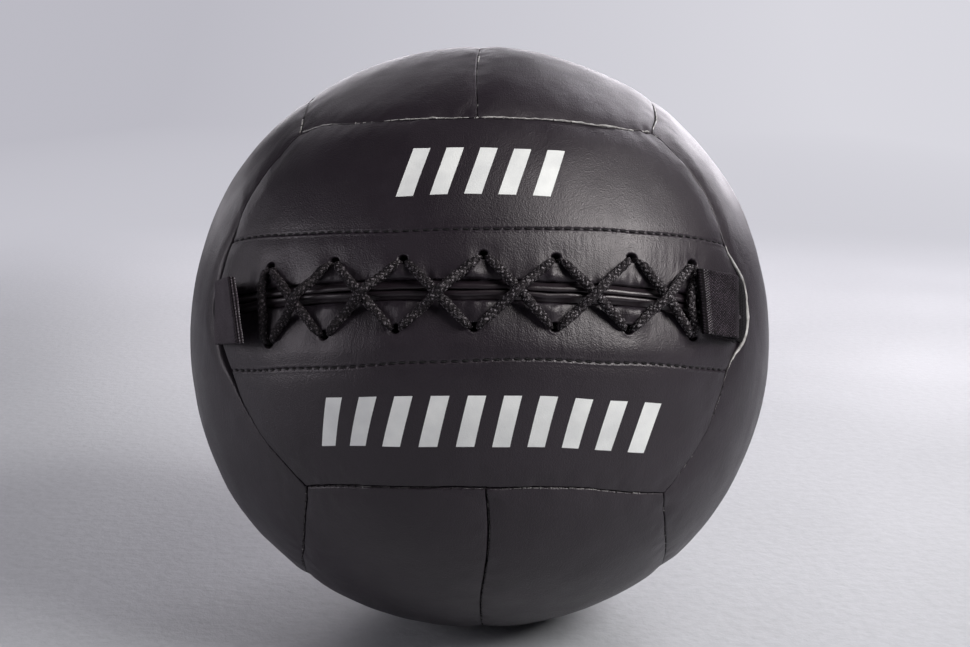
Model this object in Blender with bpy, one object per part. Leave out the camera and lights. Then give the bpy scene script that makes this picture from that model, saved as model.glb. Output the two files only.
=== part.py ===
"""A soft wall ball as it lies on the floor: sewn panels, a laced slit, padding, fill and a weight bag."""

from math import acos, asin, cos, pi, radians, sin, sqrt

import bmesh
import bpy
from mathutils import Vector

MM = 0.001

# Driving dimensions of the ball.
BALL_RADIUS = 178 * MM
FACE_TO_EDGE_FULLNESS = 2.3 * MM
FRONT_TILT_DEG = 18.5
REST_FLAT_DEPTH = 3 * MM
FULLNESS_LEVEL_SHARE = 0.75

# The sewing plan is a rounded block: each pair of panels is cut off by planes at these shares of the radius.
FRONT_CUT_SHARE = 0.625
TOP_CUT_SHARE = 0.543
SIDE_CUT_SHARE = sqrt(1 - FRONT_CUT_SHARE**2 - TOP_CUT_SHARE**2)

# Leather panels: thin at the seams, which draw them in, and full in the middle.
PANEL_THICKNESS = 4.2 * MM
SEAM_GAP = 0.4 * MM
SEAM_DIP = 2.2 * MM
SEAM_ROLL = 22 * MM
ALONG_SHARES = (-1, -0.92, -0.76, -0.58, -0.39, -0.195, 0, 0.195, 0.39, 0.58, 0.76, 0.92, 1)
ACROSS_SHARES = (0, 0.07, 0.25, 0.5, 0.75, 0.93, 1)
SLIT_PANEL_ACROSS_SHARES = (0, 0.07, 0.2, 0.38, 0.58, 0.78, 0.93, 1)

# The filling slit: two rolled lips between the front panels, with a facing strip behind each panel.
LIP_RADIUS = 2.3 * MM
LIP_GAP = 0.5 * MM
LIP_DEPTH = 1.2 * MM
LIP_STATIONS = 25
LIP_END_GAP = 3 * MM
LIP_END_DIP = 1.9 * MM
LIP_END_RUN = 11 * MM
SLIT_DIP = 1.5 * MM
FACING_THICKNESS = 1.3 * MM
FACING_SEAT_GAP = 0.3 * MM
FACING_DEPTH = PANEL_THICKNESS + FACING_SEAT_GAP
FACING_ACROSS_SHARES = (-0.044, 0, 0.07, 0.2, 0.38)
FACING_ALONG_SHARES = ALONG_SHARES[1:-1]

# Lace holes, as shares of the radius across and up from the middle of the front.
UPPER_HOLE_SHARES = (
    (-0.607, 0.094),
    (-0.411, 0.091),
    (-0.209, 0.089),
    (0.022, 0.101),
    (0.228, 0.100),
    (0.446, 0.116),
    (0.633, 0.122),
)
LOWER_HOLE_SHARES = (
    (-0.604, -0.139),
    (-0.429, -0.126),
    (-0.223, -0.111),
    (-0.005, -0.105),
    (0.223, -0.099),
    (0.433, -0.096),
    (0.630, -0.092),
)
HOLE_HALF_WIDTH = 5.2 * MM
HOLE_HALF_HEIGHT = 3.6 * MM
HOLE_SIDES = 10

# The lace: it is squeezed thin where it goes through a hole and where it runs behind the leather.
LACE_RADIUS = 2.35 * MM
LACE_CLEARANCE = 0.3 * MM
LACE_OVER_LIP_CLEARANCE = 0.5 * MM
LACE_CROSSING_GAP = 0.4 * MM
SQUEEZE_SHARE = 0.55
EXIT_SQUEEZE_SHARE = 0.72
PASS_OFFSET = 1.6 * MM
PASS_DEPTH = 2.6 * MM
EXIT_REACH = 2.6 * MM
EXIT_RISE = 2.85 * MM
INNER_TURN = 1.4 * MM
INNER_TURN_RISE = 0.6 * MM
INNER_HOLD = 6 * MM
INNER_CROSSING_GAP = 0.5 * MM
LACE_END_REACH = 9 * MM
LACE_STEP = 8 * MM

KNOT_HALF_WIDTH = 3.4 * MM
KNOT_HALF_DEPTH = 1.3 * MM
KNOT_LUMP_SHARE = 0.12
KNOT_RINGS = 8
KNOT_SEGMENTS = 12

# Soft layers under the leather, measured inwards from the skin.
LAYER_CLEARANCE = 1.5 * MM
PADDING_SEAT_GAP = 1.6 * MM
PADDING_DEPTH = PANEL_THICKNESS + PADDING_SEAT_GAP
TONGUE_CLEARANCE = 0.4 * MM
TONGUE_SEAT_GAP = 0.15 * MM
TONGUE_THICKNESS = 3.2 * MM
FACING_CLEARANCE = 1.3 * MM
CHAMBER_LENGTH_SHARE = 0.753
CHAMBER_HEIGHT_SHARE = 0.242
CHAMBER_HALF_LENGTH = CHAMBER_LENGTH_SHARE * BALL_RADIUS
CHAMBER_HALF_HEIGHT = CHAMBER_HEIGHT_SHARE * BALL_RADIUS
CHAMBER_WALL_GAP = 0.5 * MM
PATCH_COLUMNS = 13
PATCH_ROWS = 4
DOME_RINGS = 8
DOME_SEGMENTS = 28
CUT_OVERRUN = 2 * MM

# The loaded bag in the middle.
BAG_RADIUS = 56 * MM
BAG_WALL = 1.6 * MM
BAG_POCKET_CLEARANCE = 1 * MM
NECK_RADIUS = 9 * MM
NECK_FLARE_RADIUS = 14 * MM
NECK_HEIGHT = 16 * MM
NECK_POCKET_CLEARANCE = 2 * MM
NECK_POCKET_RADIUS = NECK_FLARE_RADIUS + NECK_POCKET_CLEARANCE
SAND_CLEARANCE = 0.4 * MM
TIE_RADIUS = 1.6 * MM
TIE_CLEARANCE = 0.3 * MM
TIE_SIDES = 8
BAG_STATIONS = 10
SAND_STATIONS = 8
BAG_SEGMENTS = 24

# Pull tabs: one strip of webbing each, folded over, with both ends sewn into a side seam. The fold hangs
# lower than the root by the drop, and the twist share leans it outwards at the top.
TAB_LENGTH = 43 * MM
TAB_WIDTH = 34.5 * MM
WEBBING_THICKNESS = 1.7 * MM
TAB_LAYER_GAP = 0.5 * MM
TAB_RISE = 3 * MM
TAB_RISE_RUN = 10 * MM
TAB_SEAT_GAP = 0.35 * MM
TAB_STATIONS = 8
TAB_STATION_EASE = 1.4
TAB_FOLD_STEPS = 6
TAB_HEIGHT_SHARES = (-0.5, -0.17, 0.17, 0.5)
LEFT_TAB_LIFT_DEG = 8.4
LEFT_TAB_CENTRE = -3.9 * MM
LEFT_TAB_DROP = 3.9 * MM
LEFT_TAB_TWIST_SHARE = 0.18
RIGHT_TAB_LIFT_DEG = 2.4
RIGHT_TAB_CENTRE = 2.4 * MM
RIGHT_TAB_DROP = 2.2 * MM
RIGHT_TAB_TWIST_SHARE = -0.05

# The ball's own axes: X to its right, Y to its back, Z up through its top seam. The laced front faces -Y.
AXIS_X = Vector((1, 0, 0))
AXIS_Y = Vector((0, 1, 0))
AXIS_Z = Vector((0, 0, 1))
CUT_SHARES = {"X": SIDE_CUT_SHARE, "Y": FRONT_CUT_SHARE, "Z": TOP_CUT_SHARE}
AXES = {"X": AXIS_X, "Y": AXIS_Y, "Z": AXIS_Z}
FLOOR_UP = Vector((0, -sin(radians(FRONT_TILT_DEG)), cos(radians(FRONT_TILT_DEG))))
SLIT_EDGE = 2 * LIP_RADIUS + LIP_GAP / 2 + SEAM_GAP
SHARP_ANGLE_DEG = 40


def skin_radius(direction):
    """The ball is slightly fuller towards the corners of its sewing plan than at the middle of its faces."""
    roundness = sum(component**4 for component in direction)
    return BALL_RADIUS + 2 * FACE_TO_EDGE_FULLNESS * (FULLNESS_LEVEL_SHARE - roundness)


CENTRE_HEIGHT = skin_radius(-FLOOR_UP) - REST_FLAT_DEPTH


def at_depth(direction, depth):
    return direction * (skin_radius(direction) - depth)


def settled(point, depth):
    """An inner layer lies flat where the ball does: no point of it comes nearer the floor than its depth."""
    height = point.dot(FLOOR_UP) + CENTRE_HEIGHT
    return point + FLOOR_UP * max(0, depth - height)


def front_direction(across, up):
    """The direction from the ball's centre to a place on the front, given as lengths across and up."""
    x = across / BALL_RADIUS
    z = up / BALL_RADIUS
    return Vector((x, -sqrt(1 - x * x - z * z), z))


def clear_scene():
    for obj in list(bpy.data.objects):
        bpy.data.objects.remove(obj)


def material(name, color, roughness, metallic=0):
    made = bpy.data.materials.new(name)
    made.use_nodes = True
    shader = made.node_tree.nodes["Principled BSDF"]
    shader.inputs["Base Color"].default_value = (*color, 1)
    shader.inputs["Roughness"].default_value = roughness
    shader.inputs["Metallic"].default_value = metallic
    return made


def object_from_bmesh(name, mesh_data, finish, parent):
    mesh_data.normal_update()
    bmesh.ops.recalc_face_normals(mesh_data, faces=mesh_data.faces)
    mesh = bpy.data.meshes.new(name)
    mesh_data.to_mesh(mesh)
    mesh_data.free()
    mesh.shade_smooth()
    mesh.set_sharp_from_angle(angle=radians(SHARP_ANGLE_DEG))
    obj = bpy.data.objects.new(name, mesh)
    obj.parent = parent
    if finish is not None:
        mesh.materials.append(finish)
    bpy.context.scene.collection.objects.link(obj)
    return obj


def slab(name, outer, inner, finish, parent):
    """A closed sheet between two grids of points of the same size."""
    made = bmesh.new()
    rows = len(outer)
    columns = len(outer[0])
    top = [[made.verts.new(point) for point in row] for row in outer]
    bottom = [[made.verts.new(point) for point in row] for row in inner]
    for i in range(rows - 1):
        for j in range(columns - 1):
            made.faces.new((top[i][j], top[i][j + 1], top[i + 1][j + 1], top[i + 1][j]))
            made.faces.new((bottom[i][j], bottom[i + 1][j], bottom[i + 1][j + 1], bottom[i][j + 1]))
    for j in range(columns - 1):
        for i in (0, rows - 1):
            made.faces.new((top[i][j], top[i][j + 1], bottom[i][j + 1], bottom[i][j]))
    for i in range(rows - 1):
        for j in (0, columns - 1):
            made.faces.new((top[i][j], top[i + 1][j], bottom[i + 1][j], bottom[i][j]))
    return object_from_bmesh(name, made, finish, parent)


def cutter(obj):
    obj.hide_render = True
    obj.display_type = "WIRE"
    return obj


def cut(obj, tool):
    modifier = obj.modifiers.new(f"cut_{tool.name}", "BOOLEAN")
    modifier.operation = "DIFFERENCE"
    modifier.solver = "EXACT"
    modifier.object = tool


class Strip:
    """One leather strip of a pair: it runs along one axis, spreads across another, and faces a third."""

    def __init__(self, along, across, facing, at_slit=False):
        self.along = AXES[along]
        self.across = AXES[across[1]] * (1 if across[0] == "+" else -1)
        self.facing = AXES[facing[1]] * (1 if facing[0] == "+" else -1)
        self.inner = (SLIT_EDGE if at_slit else SEAM_GAP / 2) / BALL_RADIUS
        self.outer = CUT_SHARES[across[1]] - SEAM_GAP / 2 / BALL_RADIUS
        self.end = CUT_SHARES[facing[1]] + SEAM_GAP / 2 / BALL_RADIUS
        self.at_slit = at_slit

    def place(self, along_share, across_share):
        """The direction of a place on the strip, and how far the seams draw the leather in there."""
        side = self.inner + (self.outer - self.inner) * across_share
        band = sqrt(1 - side * side)
        swing = acos(self.end / band)
        angle = along_share * swing
        direction = self.along * band * sin(angle) + self.across * side + self.facing * band * cos(angle)
        to_outer = BALL_RADIUS * (asin(self.outer) - asin(side))
        to_inner = BALL_RADIUS * (asin(side) - asin(self.inner))
        to_end = BALL_RADIUS * band * (swing - abs(angle))
        free = (1 - seam_pull(to_outer)) * (1 - seam_pull(to_end))
        if self.at_slit:
            return direction, max(SEAM_DIP * (1 - free), SLIT_DIP * seam_pull(to_inner))
        return direction, SEAM_DIP * (1 - free * (1 - seam_pull(to_inner)))


def seam_pull(distance):
    return max(0, 1 - distance / SEAM_ROLL) ** 2


STRIPS = {
    "front_upper_panel": Strip("X", "+Z", "-Y", at_slit=True),
    "front_lower_panel": Strip("X", "-Z", "-Y", at_slit=True),
    "back_upper_panel": Strip("X", "+Z", "+Y"),
    "back_lower_panel": Strip("X", "-Z", "+Y"),
    "top_left_panel": Strip("Y", "-X", "+Z"),
    "top_right_panel": Strip("Y", "+X", "+Z"),
    "bottom_left_panel": Strip("Y", "-X", "-Z"),
    "bottom_right_panel": Strip("Y", "+X", "-Z"),
    "left_front_panel": Strip("Z", "-Y", "-X"),
    "left_rear_panel": Strip("Z", "+Y", "-X"),
    "right_front_panel": Strip("Z", "-Y", "+X"),
    "right_rear_panel": Strip("Z", "+Y", "+X"),
}


def leather_panel(name, strip, finish, parent):
    outer = []
    inner = []
    for across_share in SLIT_PANEL_ACROSS_SHARES if strip.at_slit else ACROSS_SHARES:
        places = [strip.place(along_share, across_share) for along_share in ALONG_SHARES]
        outer.append([at_depth(direction, dip) for direction, dip in places])
        inner.append(
            [settled(at_depth(direction, PANEL_THICKNESS), PANEL_THICKNESS) for direction, _ in places]
        )
    return slab(name, outer, inner, finish, parent)


def slit_facing(name, strip, finish, parent):
    """The strip behind a front panel, on the panel's own grid so that the two lie evenly together."""
    layers = []
    for depth in (FACING_DEPTH, FACING_DEPTH + FACING_THICKNESS):
        layers.append(
            [
                [at_depth(strip.place(along, across)[0], depth) for along in FACING_ALONG_SHARES]
                for across in FACING_ACROSS_SHARES
            ]
        )
    return slab(name, *layers, finish, parent)


def floor_cutter():
    """A block under the floor that cuts the bottom of the ball flat."""
    made = bmesh.new()
    bmesh.ops.create_cube(made, size=2 * BALL_RADIUS)
    obj = object_from_bmesh("floor_cutter", made, None, None)
    obj.location = (0, 0, -BALL_RADIUS)
    return cutter(obj)


def front_patch(name, low, high, half_length, outer_depth, inner_depth, finish, parent):
    """A sheet on the front of the ball, between two heights, at the given depths under the skin."""
    outer = []
    inner = []
    for i in range(PATCH_ROWS):
        up = low + (high - low) * i / (PATCH_ROWS - 1)
        places = [half_length * (2 * j / (PATCH_COLUMNS - 1) - 1) for j in range(PATCH_COLUMNS)]
        row = [front_direction(across, up) for across in places]
        outer.append([at_depth(direction, outer_depth) for direction in row])
        inner.append([at_depth(direction, inner_depth) for direction in row])
    return slab(name, outer, inner, finish, parent)


def hole_places(shares):
    return [(across * BALL_RADIUS, up * BALL_RADIUS) for across, up in shares]


def hole_cutter(name, places, parent):
    """Oval punches through the leather and its facing, square to the skin at each place."""
    made = bmesh.new()
    for across, up in places:
        normal = front_direction(across, up)
        sideways = (AXIS_X - normal * normal.x).normalized()
        upwards = sideways.cross(normal)
        rings = []
        for depth in (-CUT_OVERRUN - LIP_DEPTH, FACING_DEPTH + FACING_THICKNESS + CUT_OVERRUN):
            ring = []
            for i in range(HOLE_SIDES):
                turn = 2 * pi * i / HOLE_SIDES
                oval = sideways * HOLE_HALF_WIDTH * cos(turn) + upwards * HOLE_HALF_HEIGHT * sin(turn)
                ring.append(made.verts.new(at_depth(normal, depth) + oval))
            rings.append(ring)
        made.faces.new(rings[0])
        made.faces.new(rings[1])
        for i in range(HOLE_SIDES):
            j = (i + 1) % HOLE_SIDES
            made.faces.new((rings[0][i], rings[0][j], rings[1][j], rings[1][i]))
    return cutter(object_from_bmesh(name, made, None, parent))


def cord_object(name, points, radius, finish, parent):
    """A tube along points, each with its own share of the radius as a fourth value."""
    curve = bpy.data.curves.new(name, "CURVE")
    curve.dimensions = "3D"
    curve.resolution_u = 1
    curve.bevel_depth = radius
    curve.bevel_resolution = 2
    curve.use_fill_caps = True
    spline = curve.splines.new("POLY")
    spline.points.add(len(points) - 1)
    for spot, (point, share) in zip(spline.points, points):
        spot.co = (*point, 1)
        spot.radius = share
    spline.use_smooth = True
    curve.materials.append(finish)
    obj = bpy.data.objects.new(name, curve)
    obj.parent = parent
    bpy.context.scene.collection.objects.link(obj)
    return obj


def lip_piping(name, side, finish, parent):
    """The rolled leather edge of the slit. Its ends dip under the tabs in the side seams."""
    up = side * (LIP_RADIUS + LIP_GAP / 2)
    half_length = BALL_RADIUS * acos(FRONT_CUT_SHARE) - LIP_END_GAP
    points = []
    for i in range(LIP_STATIONS):
        along = half_length * (2 * i / (LIP_STATIONS - 1) - 1)
        dip = LIP_END_DIP * max(0, 1 - (half_length - abs(along)) / LIP_END_RUN) ** 2
        direction = front_direction(BALL_RADIUS * sin(along / BALL_RADIUS), up)
        points.append((at_depth(direction, LIP_DEPTH + dip), 1))
    return cord_object(name, points, LIP_RADIUS, finish, parent)


# Heights of the lace's centre line over the skin: on the leather, over the lips, and behind the facings.
LACE_REST = LACE_RADIUS + LACE_CLEARANCE
LACE_UNDER = LIP_RADIUS - LIP_DEPTH + LACE_RADIUS + LACE_OVER_LIP_CLEARANCE
LACE_OVER = LACE_UNDER + 2 * LACE_RADIUS + LACE_CROSSING_GAP
SQUEEZED_RADIUS = LACE_RADIUS * SQUEEZE_SHARE
INNER_NEAR = -(FACING_DEPTH + FACING_THICKNESS + FACING_CLEARANCE + SQUEEZED_RADIUS)
INNER_FAR = INNER_NEAR - 2 * SQUEEZED_RADIUS - INNER_CROSSING_GAP
TONGUE_DEPTH = -INNER_FAR + SQUEEZED_RADIUS + TONGUE_CLEARANCE
TONGUE_INNER_DEPTH = TONGUE_DEPTH + TONGUE_THICKNESS

# The padding is as deep as what lies in its chamber, and the fill starts under both.
PADDING_INNER_DEPTH = TONGUE_INNER_DEPTH + TONGUE_SEAT_GAP
FILL_DEPTH = PADDING_INNER_DEPTH + LAYER_CLEARANCE


class LaceRoute:
    """Collects the lace's key points as (across, up, height over the skin, share of the radius)."""

    def __init__(self):
        self.keys = []

    def through(self, hole):
        self.keys.append((*hole, -PASS_DEPTH, SQUEEZE_SHARE))

    def outside(self, start, end, middle_height):
        start, end = Vector(start), Vector(end)
        reach = (end - start).normalized() * EXIT_REACH
        middle = start.lerp(end, start.y / (start.y - end.y))
        self.keys.append((*(start + reach), EXIT_RISE, EXIT_SQUEEZE_SHARE))
        self.keys.append((*start.lerp(middle, 0.5), LACE_REST, 1))
        self.keys.append((*middle, middle_height, 1))
        self.keys.append((*end.lerp(middle, 0.5), LACE_REST, 1))
        self.keys.append((*(end - reach), EXIT_RISE, EXIT_SQUEEZE_SHARE))

    def inner_end(self, hole, way, height):
        """The two key points where the lace turns behind the leather, from the hole inwards."""
        across, up = hole
        return (
            (across, up + way * INNER_TURN, INNER_NEAR + INNER_TURN_RISE, SQUEEZE_SHARE),
            (across, up + way * INNER_HOLD, height, SQUEEZE_SHARE),
        )

    def inside(self, start, end, height):
        way = 1 if end[1] > start[1] else -1
        middle = (Vector(start) + Vector(end)) / 2
        self.keys.extend(self.inner_end(start, way, height))
        self.keys.append((*middle, height, SQUEEZE_SHARE))
        self.keys.extend(reversed(self.inner_end(end, -way, height)))


def smooth_points(keys, step):
    """Points read from one smooth curve through the keys, which are (point, share) pairs."""
    values = [(*point, share) for point, share in keys]
    spans = [(Vector(b[:3]) - Vector(a[:3])).length for a, b in zip(values, values[1:])]
    slopes = []
    for i, value in enumerate(values):
        if 0 < i < len(values) - 1:
            before, after = spans[i - 1], spans[i]
            slope = [
                ((v - p) / before * after + (n - v) / after * before) / (before + after)
                for p, v, n in zip(values[i - 1], value, values[i + 1])
            ]
        else:
            k = min(i, len(spans) - 1)
            slope = [(n - p) / spans[k] for p, n in zip(values[k], values[k + 1])]
        slopes.append(slope)
    points = []
    for i, span in enumerate(spans):
        count = max(1, round(span / step))
        for j in range(count):
            t = j / count
            weights = (2 * t**3 - 3 * t**2 + 1, (t**3 - 2 * t**2 + t) * span)
            weights += (3 * t**2 - 2 * t**3, (t**3 - t**2) * span)
            mixed = [
                sum(w * part for w, part in zip(weights, parts))
                for parts in zip(values[i], slopes[i], values[i + 1], slopes[i + 1])
            ]
            points.append((Vector(mixed[:3]), mixed[3]))
    points.append((Vector(values[-1][:3]), values[-1][3]))
    return points


def lace_route():
    """The whole lace: over each crossing runs the strand that climbs to the right."""
    upper = hole_places(UPPER_HOLE_SHARES)
    lower = hole_places(LOWER_HOLE_SHARES)
    upper_left = [(across - PASS_OFFSET, up) for across, up in upper]
    upper_right = [(across + PASS_OFFSET, up) for across, up in upper]
    lower_left = [(across - PASS_OFFSET, up) for across, up in lower]
    lower_right = [(across + PASS_OFFSET, up) for across, up in lower]
    last = len(upper) - 1
    route = LaceRoute()

    across, up = upper_right[last]
    route.keys.append((across, up - LACE_END_REACH, INNER_NEAR, SQUEEZE_SHARE))
    route.keys.append(route.inner_end(upper_right[last], -1, INNER_NEAR)[0])
    route.through(upper_right[last])
    route.outside(upper_right[last], lower_right[last], LACE_UNDER)
    route.through(lower_right[last])
    route.inside(lower_right[last], upper_left[last], INNER_FAR)
    route.through(upper_left[last])
    for k in range(last - 1, -1, -1):
        route.outside(upper_left[k + 1], lower_right[k], LACE_OVER)
        route.through(lower_right[k])
        route.inside(lower_right[k], upper_left[k], INNER_NEAR)
        route.through(upper_left[k])
    route.outside(upper_left[0], lower_left[0], LACE_UNDER)
    route.through(lower_left[0])
    for k in range(last):
        route.inside(lower_left[k], upper_right[k], INNER_FAR)
        route.through(upper_right[k])
        route.outside(upper_right[k], lower_left[k + 1], LACE_UNDER)
        route.through(lower_left[k + 1])
    route.keys.append(route.inner_end(lower_left[last], 1, INNER_NEAR)[0])
    across, up = lower_left[last]
    route.keys.append((across, up + LACE_END_REACH, INNER_NEAR, SQUEEZE_SHARE))
    return route.keys


def lace(finish, parent):
    keys = []
    for across, up, height, share in lace_route():
        keys.append((at_depth(front_direction(across, up), -height), share))
    return cord_object("lace", smooth_points(keys, LACE_STEP), LACE_RADIUS, finish, parent)


def lace_knot(finish, parent):
    """The flat knot that joins the lace's ends behind the last pair of holes."""
    across, top = hole_places(UPPER_HOLE_SHARES)[-1]
    bottom = hole_places(LOWER_HOLE_SHARES)[-1][1]
    high = top - LACE_END_REACH - LACE_CLEARANCE
    low = bottom + LACE_END_REACH + LACE_CLEARANCE
    middle = front_direction(across, (high + low) / 2)
    sideways = (AXIS_X - middle * middle.x).normalized()
    upwards = sideways.cross(middle)
    made = bmesh.new()
    bmesh.ops.create_uvsphere(made, u_segments=KNOT_SEGMENTS, v_segments=KNOT_RINGS, radius=1)
    for vert in made.verts:
        x, y, z = vert.co
        lump = 1 + KNOT_LUMP_SHARE * cos(2 * pi * z)
        vert.co = (
            at_depth(middle, -INNER_NEAR)
            + sideways * x * lump * KNOT_HALF_WIDTH
            + middle * y * KNOT_HALF_DEPTH
            + upwards * z * (high - low) / 2
        )
    return object_from_bmesh("lace_knot", made, finish, parent)


def dome(name, front, outer_point, inner_point, finish, parent):
    """Half of a thick ball, before or behind the middle plane, between two surfaces given by direction."""
    made = bmesh.new()
    facing = AXIS_Y * (-1 if front else 1)
    edge = SEAM_GAP / 2 / BALL_RADIUS
    surfaces = []
    for surface in (outer_point, inner_point):
        pole = made.verts.new(surface(facing))
        rings = []
        for i in range(1, DOME_RINGS + 1):
            polar = i / DOME_RINGS * (pi / 2 - asin(edge))
            ring = []
            for j in range(DOME_SEGMENTS):
                turn = 2 * pi * j / DOME_SEGMENTS
                flat = AXIS_X * cos(turn) + AXIS_Z * sin(turn)
                ring.append(made.verts.new(surface(facing * cos(polar) + flat * sin(polar))))
            rings.append(ring)
        for j in range(DOME_SEGMENTS):
            k = (j + 1) % DOME_SEGMENTS
            made.faces.new((pole, rings[0][j], rings[0][k]))
            for near, far in zip(rings, rings[1:]):
                made.faces.new((near[j], far[j], far[k], near[k]))
        surfaces.append(rings[-1])
    for j in range(DOME_SEGMENTS):
        k = (j + 1) % DOME_SEGMENTS
        made.faces.new((surfaces[0][j], surfaces[0][k], surfaces[1][k], surfaces[1][j]))
    return object_from_bmesh(name, made, finish, parent)


def padding_half(name, front, finish, parent):
    return dome(
        name,
        front,
        lambda direction: settled(at_depth(direction, PADDING_DEPTH), PADDING_DEPTH),
        lambda direction: settled(at_depth(direction, PADDING_INNER_DEPTH), PADDING_INNER_DEPTH),
        finish,
        parent,
    )


def fill_half(name, front, finish, parent):
    pocket_radius = BAG_RADIUS + BAG_POCKET_CLEARANCE
    return dome(
        name,
        front,
        lambda direction: settled(at_depth(direction, FILL_DEPTH), FILL_DEPTH),
        lambda direction: direction * pocket_radius,
        finish,
        parent,
    )


def turned(name, profile, segments, finish, parent):
    """A body turned about Z from (radius, height) points. A zero radius is a pole. No pole makes a ring."""
    made = bmesh.new()
    rings = []
    for radius, height in profile:
        if radius == 0:
            rings.append([made.verts.new((0, 0, height))])
            continue
        turns = [2 * pi * i / segments for i in range(segments)]
        rings.append([made.verts.new((radius * cos(turn), radius * sin(turn), height)) for turn in turns])
    if profile[0][0] != 0:
        rings.append(rings[0])
    for near, far in zip(rings, rings[1:]):
        for i in range(segments):
            j = (i + 1) % segments
            corners = [near[i % len(near)], near[j % len(near)], far[j % len(far)], far[i % len(far)]]
            made.faces.new(list(dict.fromkeys(corners)))
    return object_from_bmesh(name, made, finish, parent)


def arc(radius, start, end, count):
    """Points of a circle round the origin, from one polar angle to another, measured from below."""
    turns = [start + (end - start) * i / (count - 1) for i in range(count)]
    return [(radius * sin(turn), -radius * cos(turn)) for turn in turns]


def weight_bag(finish, parent):
    inner_radius = BAG_RADIUS - BAG_WALL
    inner_neck = NECK_RADIUS - BAG_WALL
    shoulder = pi - asin(NECK_RADIUS / BAG_RADIUS)
    inner_shoulder = pi - asin(inner_neck / inner_radius)
    outer = arc(BAG_RADIUS, 0, shoulder, BAG_STATIONS)
    inner = arc(inner_radius, 0, inner_shoulder, BAG_STATIONS)
    outer[0] = (0, -BAG_RADIUS)
    inner[0] = (0, -inner_radius)
    mouth = outer[-1][1] + NECK_HEIGHT
    neck = [(NECK_RADIUS, mouth - NECK_HEIGHT / 2), (NECK_FLARE_RADIUS, mouth)]
    inner_neck_points = [(radius - BAG_WALL, height) for radius, height in reversed(neck)]
    return turned(
        "weight_bag", outer + neck + inner_neck_points + inner[::-1], BAG_SEGMENTS, finish, parent
    )


def iron_sand(finish, parent):
    inner_radius = BAG_RADIUS - BAG_WALL
    shoulder = pi - asin((NECK_RADIUS - BAG_WALL) / inner_radius)
    body = arc(inner_radius - SAND_CLEARANCE, 0, shoulder, BAG_STATIONS)[:SAND_STATIONS]
    body[0] = (0, body[0][1])
    return turned("iron_sand", body + [(0, body[-1][1])], BAG_SEGMENTS, finish, parent)


def bag_tie(finish, parent):
    """The cord ring round the bag's gathered neck."""
    height = BAG_RADIUS * cos(asin(NECK_RADIUS / BAG_RADIUS)) + NECK_HEIGHT / 4
    centre = NECK_RADIUS + TIE_CLEARANCE + TIE_RADIUS
    turns = [2 * pi * i / TIE_SIDES for i in range(TIE_SIDES)]
    ring = [(centre + TIE_RADIUS * cos(turn), height + TIE_RADIUS * sin(turn)) for turn in turns]
    return turned("bag_tie", ring, BAG_SEGMENTS, finish, parent)


def neck_cutter(parent):
    profile = [
        (0, 0),
        (NECK_POCKET_RADIUS, 0),
        (NECK_POCKET_RADIUS, BAG_RADIUS + NECK_HEIGHT + BAG_POCKET_CLEARANCE),
        (0, BAG_RADIUS + NECK_HEIGHT + BAG_POCKET_CLEARANCE),
    ]
    return cutter(turned("neck_cutter", profile, BAG_SEGMENTS, None, parent))


def tab_line(station):
    """The strap's middle line, from its root in the seam: it rises out of the groove, then runs straight."""
    short = max(0, 1 - station / TAB_RISE_RUN)
    return TAB_RISE * (1 - short * short)


def tab_outline():
    """The folded webbing from its edge: two layers, open at the root and closed at the fold."""
    half = WEBBING_THICKNESS + TAB_LAYER_GAP / 2
    straight = TAB_LENGTH - half
    stations = [straight * (i / (TAB_STATIONS - 1)) ** TAB_STATION_EASE for i in range(TAB_STATIONS)]
    end_rise = tab_line(straight)
    outline = []
    for offset, order in ((half, 1), (TAB_LAYER_GAP / 2, -1)):
        loop = [(station, tab_line(station) + offset) for station in stations]
        for i in range(1, TAB_FOLD_STEPS):
            turn = pi / 2 - pi * i / TAB_FOLD_STEPS
            loop.append((straight + offset * cos(turn), end_rise + offset * sin(turn)))
        loop += [(station, tab_line(station) - offset) for station in reversed(stations)]
        outline += loop[::order]
    return outline


def pull_tab(name, side, lift_deg, centre, drop, twist_share, finish, parent):
    """A tab on the side seam. Its origin lies on the line about which the webbing swings."""
    seam = Vector((side * sqrt(1 - FRONT_CUT_SHARE**2), -FRONT_CUT_SHARE, 0))
    half = WEBBING_THICKNESS + TAB_LAYER_GAP / 2
    pivot = at_depth(seam, SEAM_DIP - TAB_SEAT_GAP - half)
    forwards = Vector((-side * FRONT_CUT_SHARE, -sqrt(1 - FRONT_CUT_SHARE**2), 0))
    lift = radians(lift_deg)
    along = forwards * cos(lift) + seam * sin(lift)
    away = seam * cos(lift) - forwards * sin(lift)
    made = bmesh.new()
    outline = tab_outline()
    rings = []
    for height_share in TAB_HEIGHT_SHARES:
        height = TAB_WIDTH * height_share
        ring = []
        for x, y in outline:
            reach_share = x / TAB_LENGTH
            lean = height * twist_share * reach_share
            place = along * x + away * (y + lean) + AXIS_Z * (height - drop * reach_share)
            ring.append(made.verts.new(place))
        rings.append(ring)
    made.faces.new(rings[0])
    made.faces.new(rings[-1])
    for low, high in zip(rings, rings[1:]):
        for i in range(len(outline)):
            j = (i + 1) % len(outline)
            made.faces.new((low[i], low[j], high[j], high[i]))
    obj = object_from_bmesh(name, made, finish, parent)
    obj.location = pivot + AXIS_Z * centre
    return obj


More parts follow.
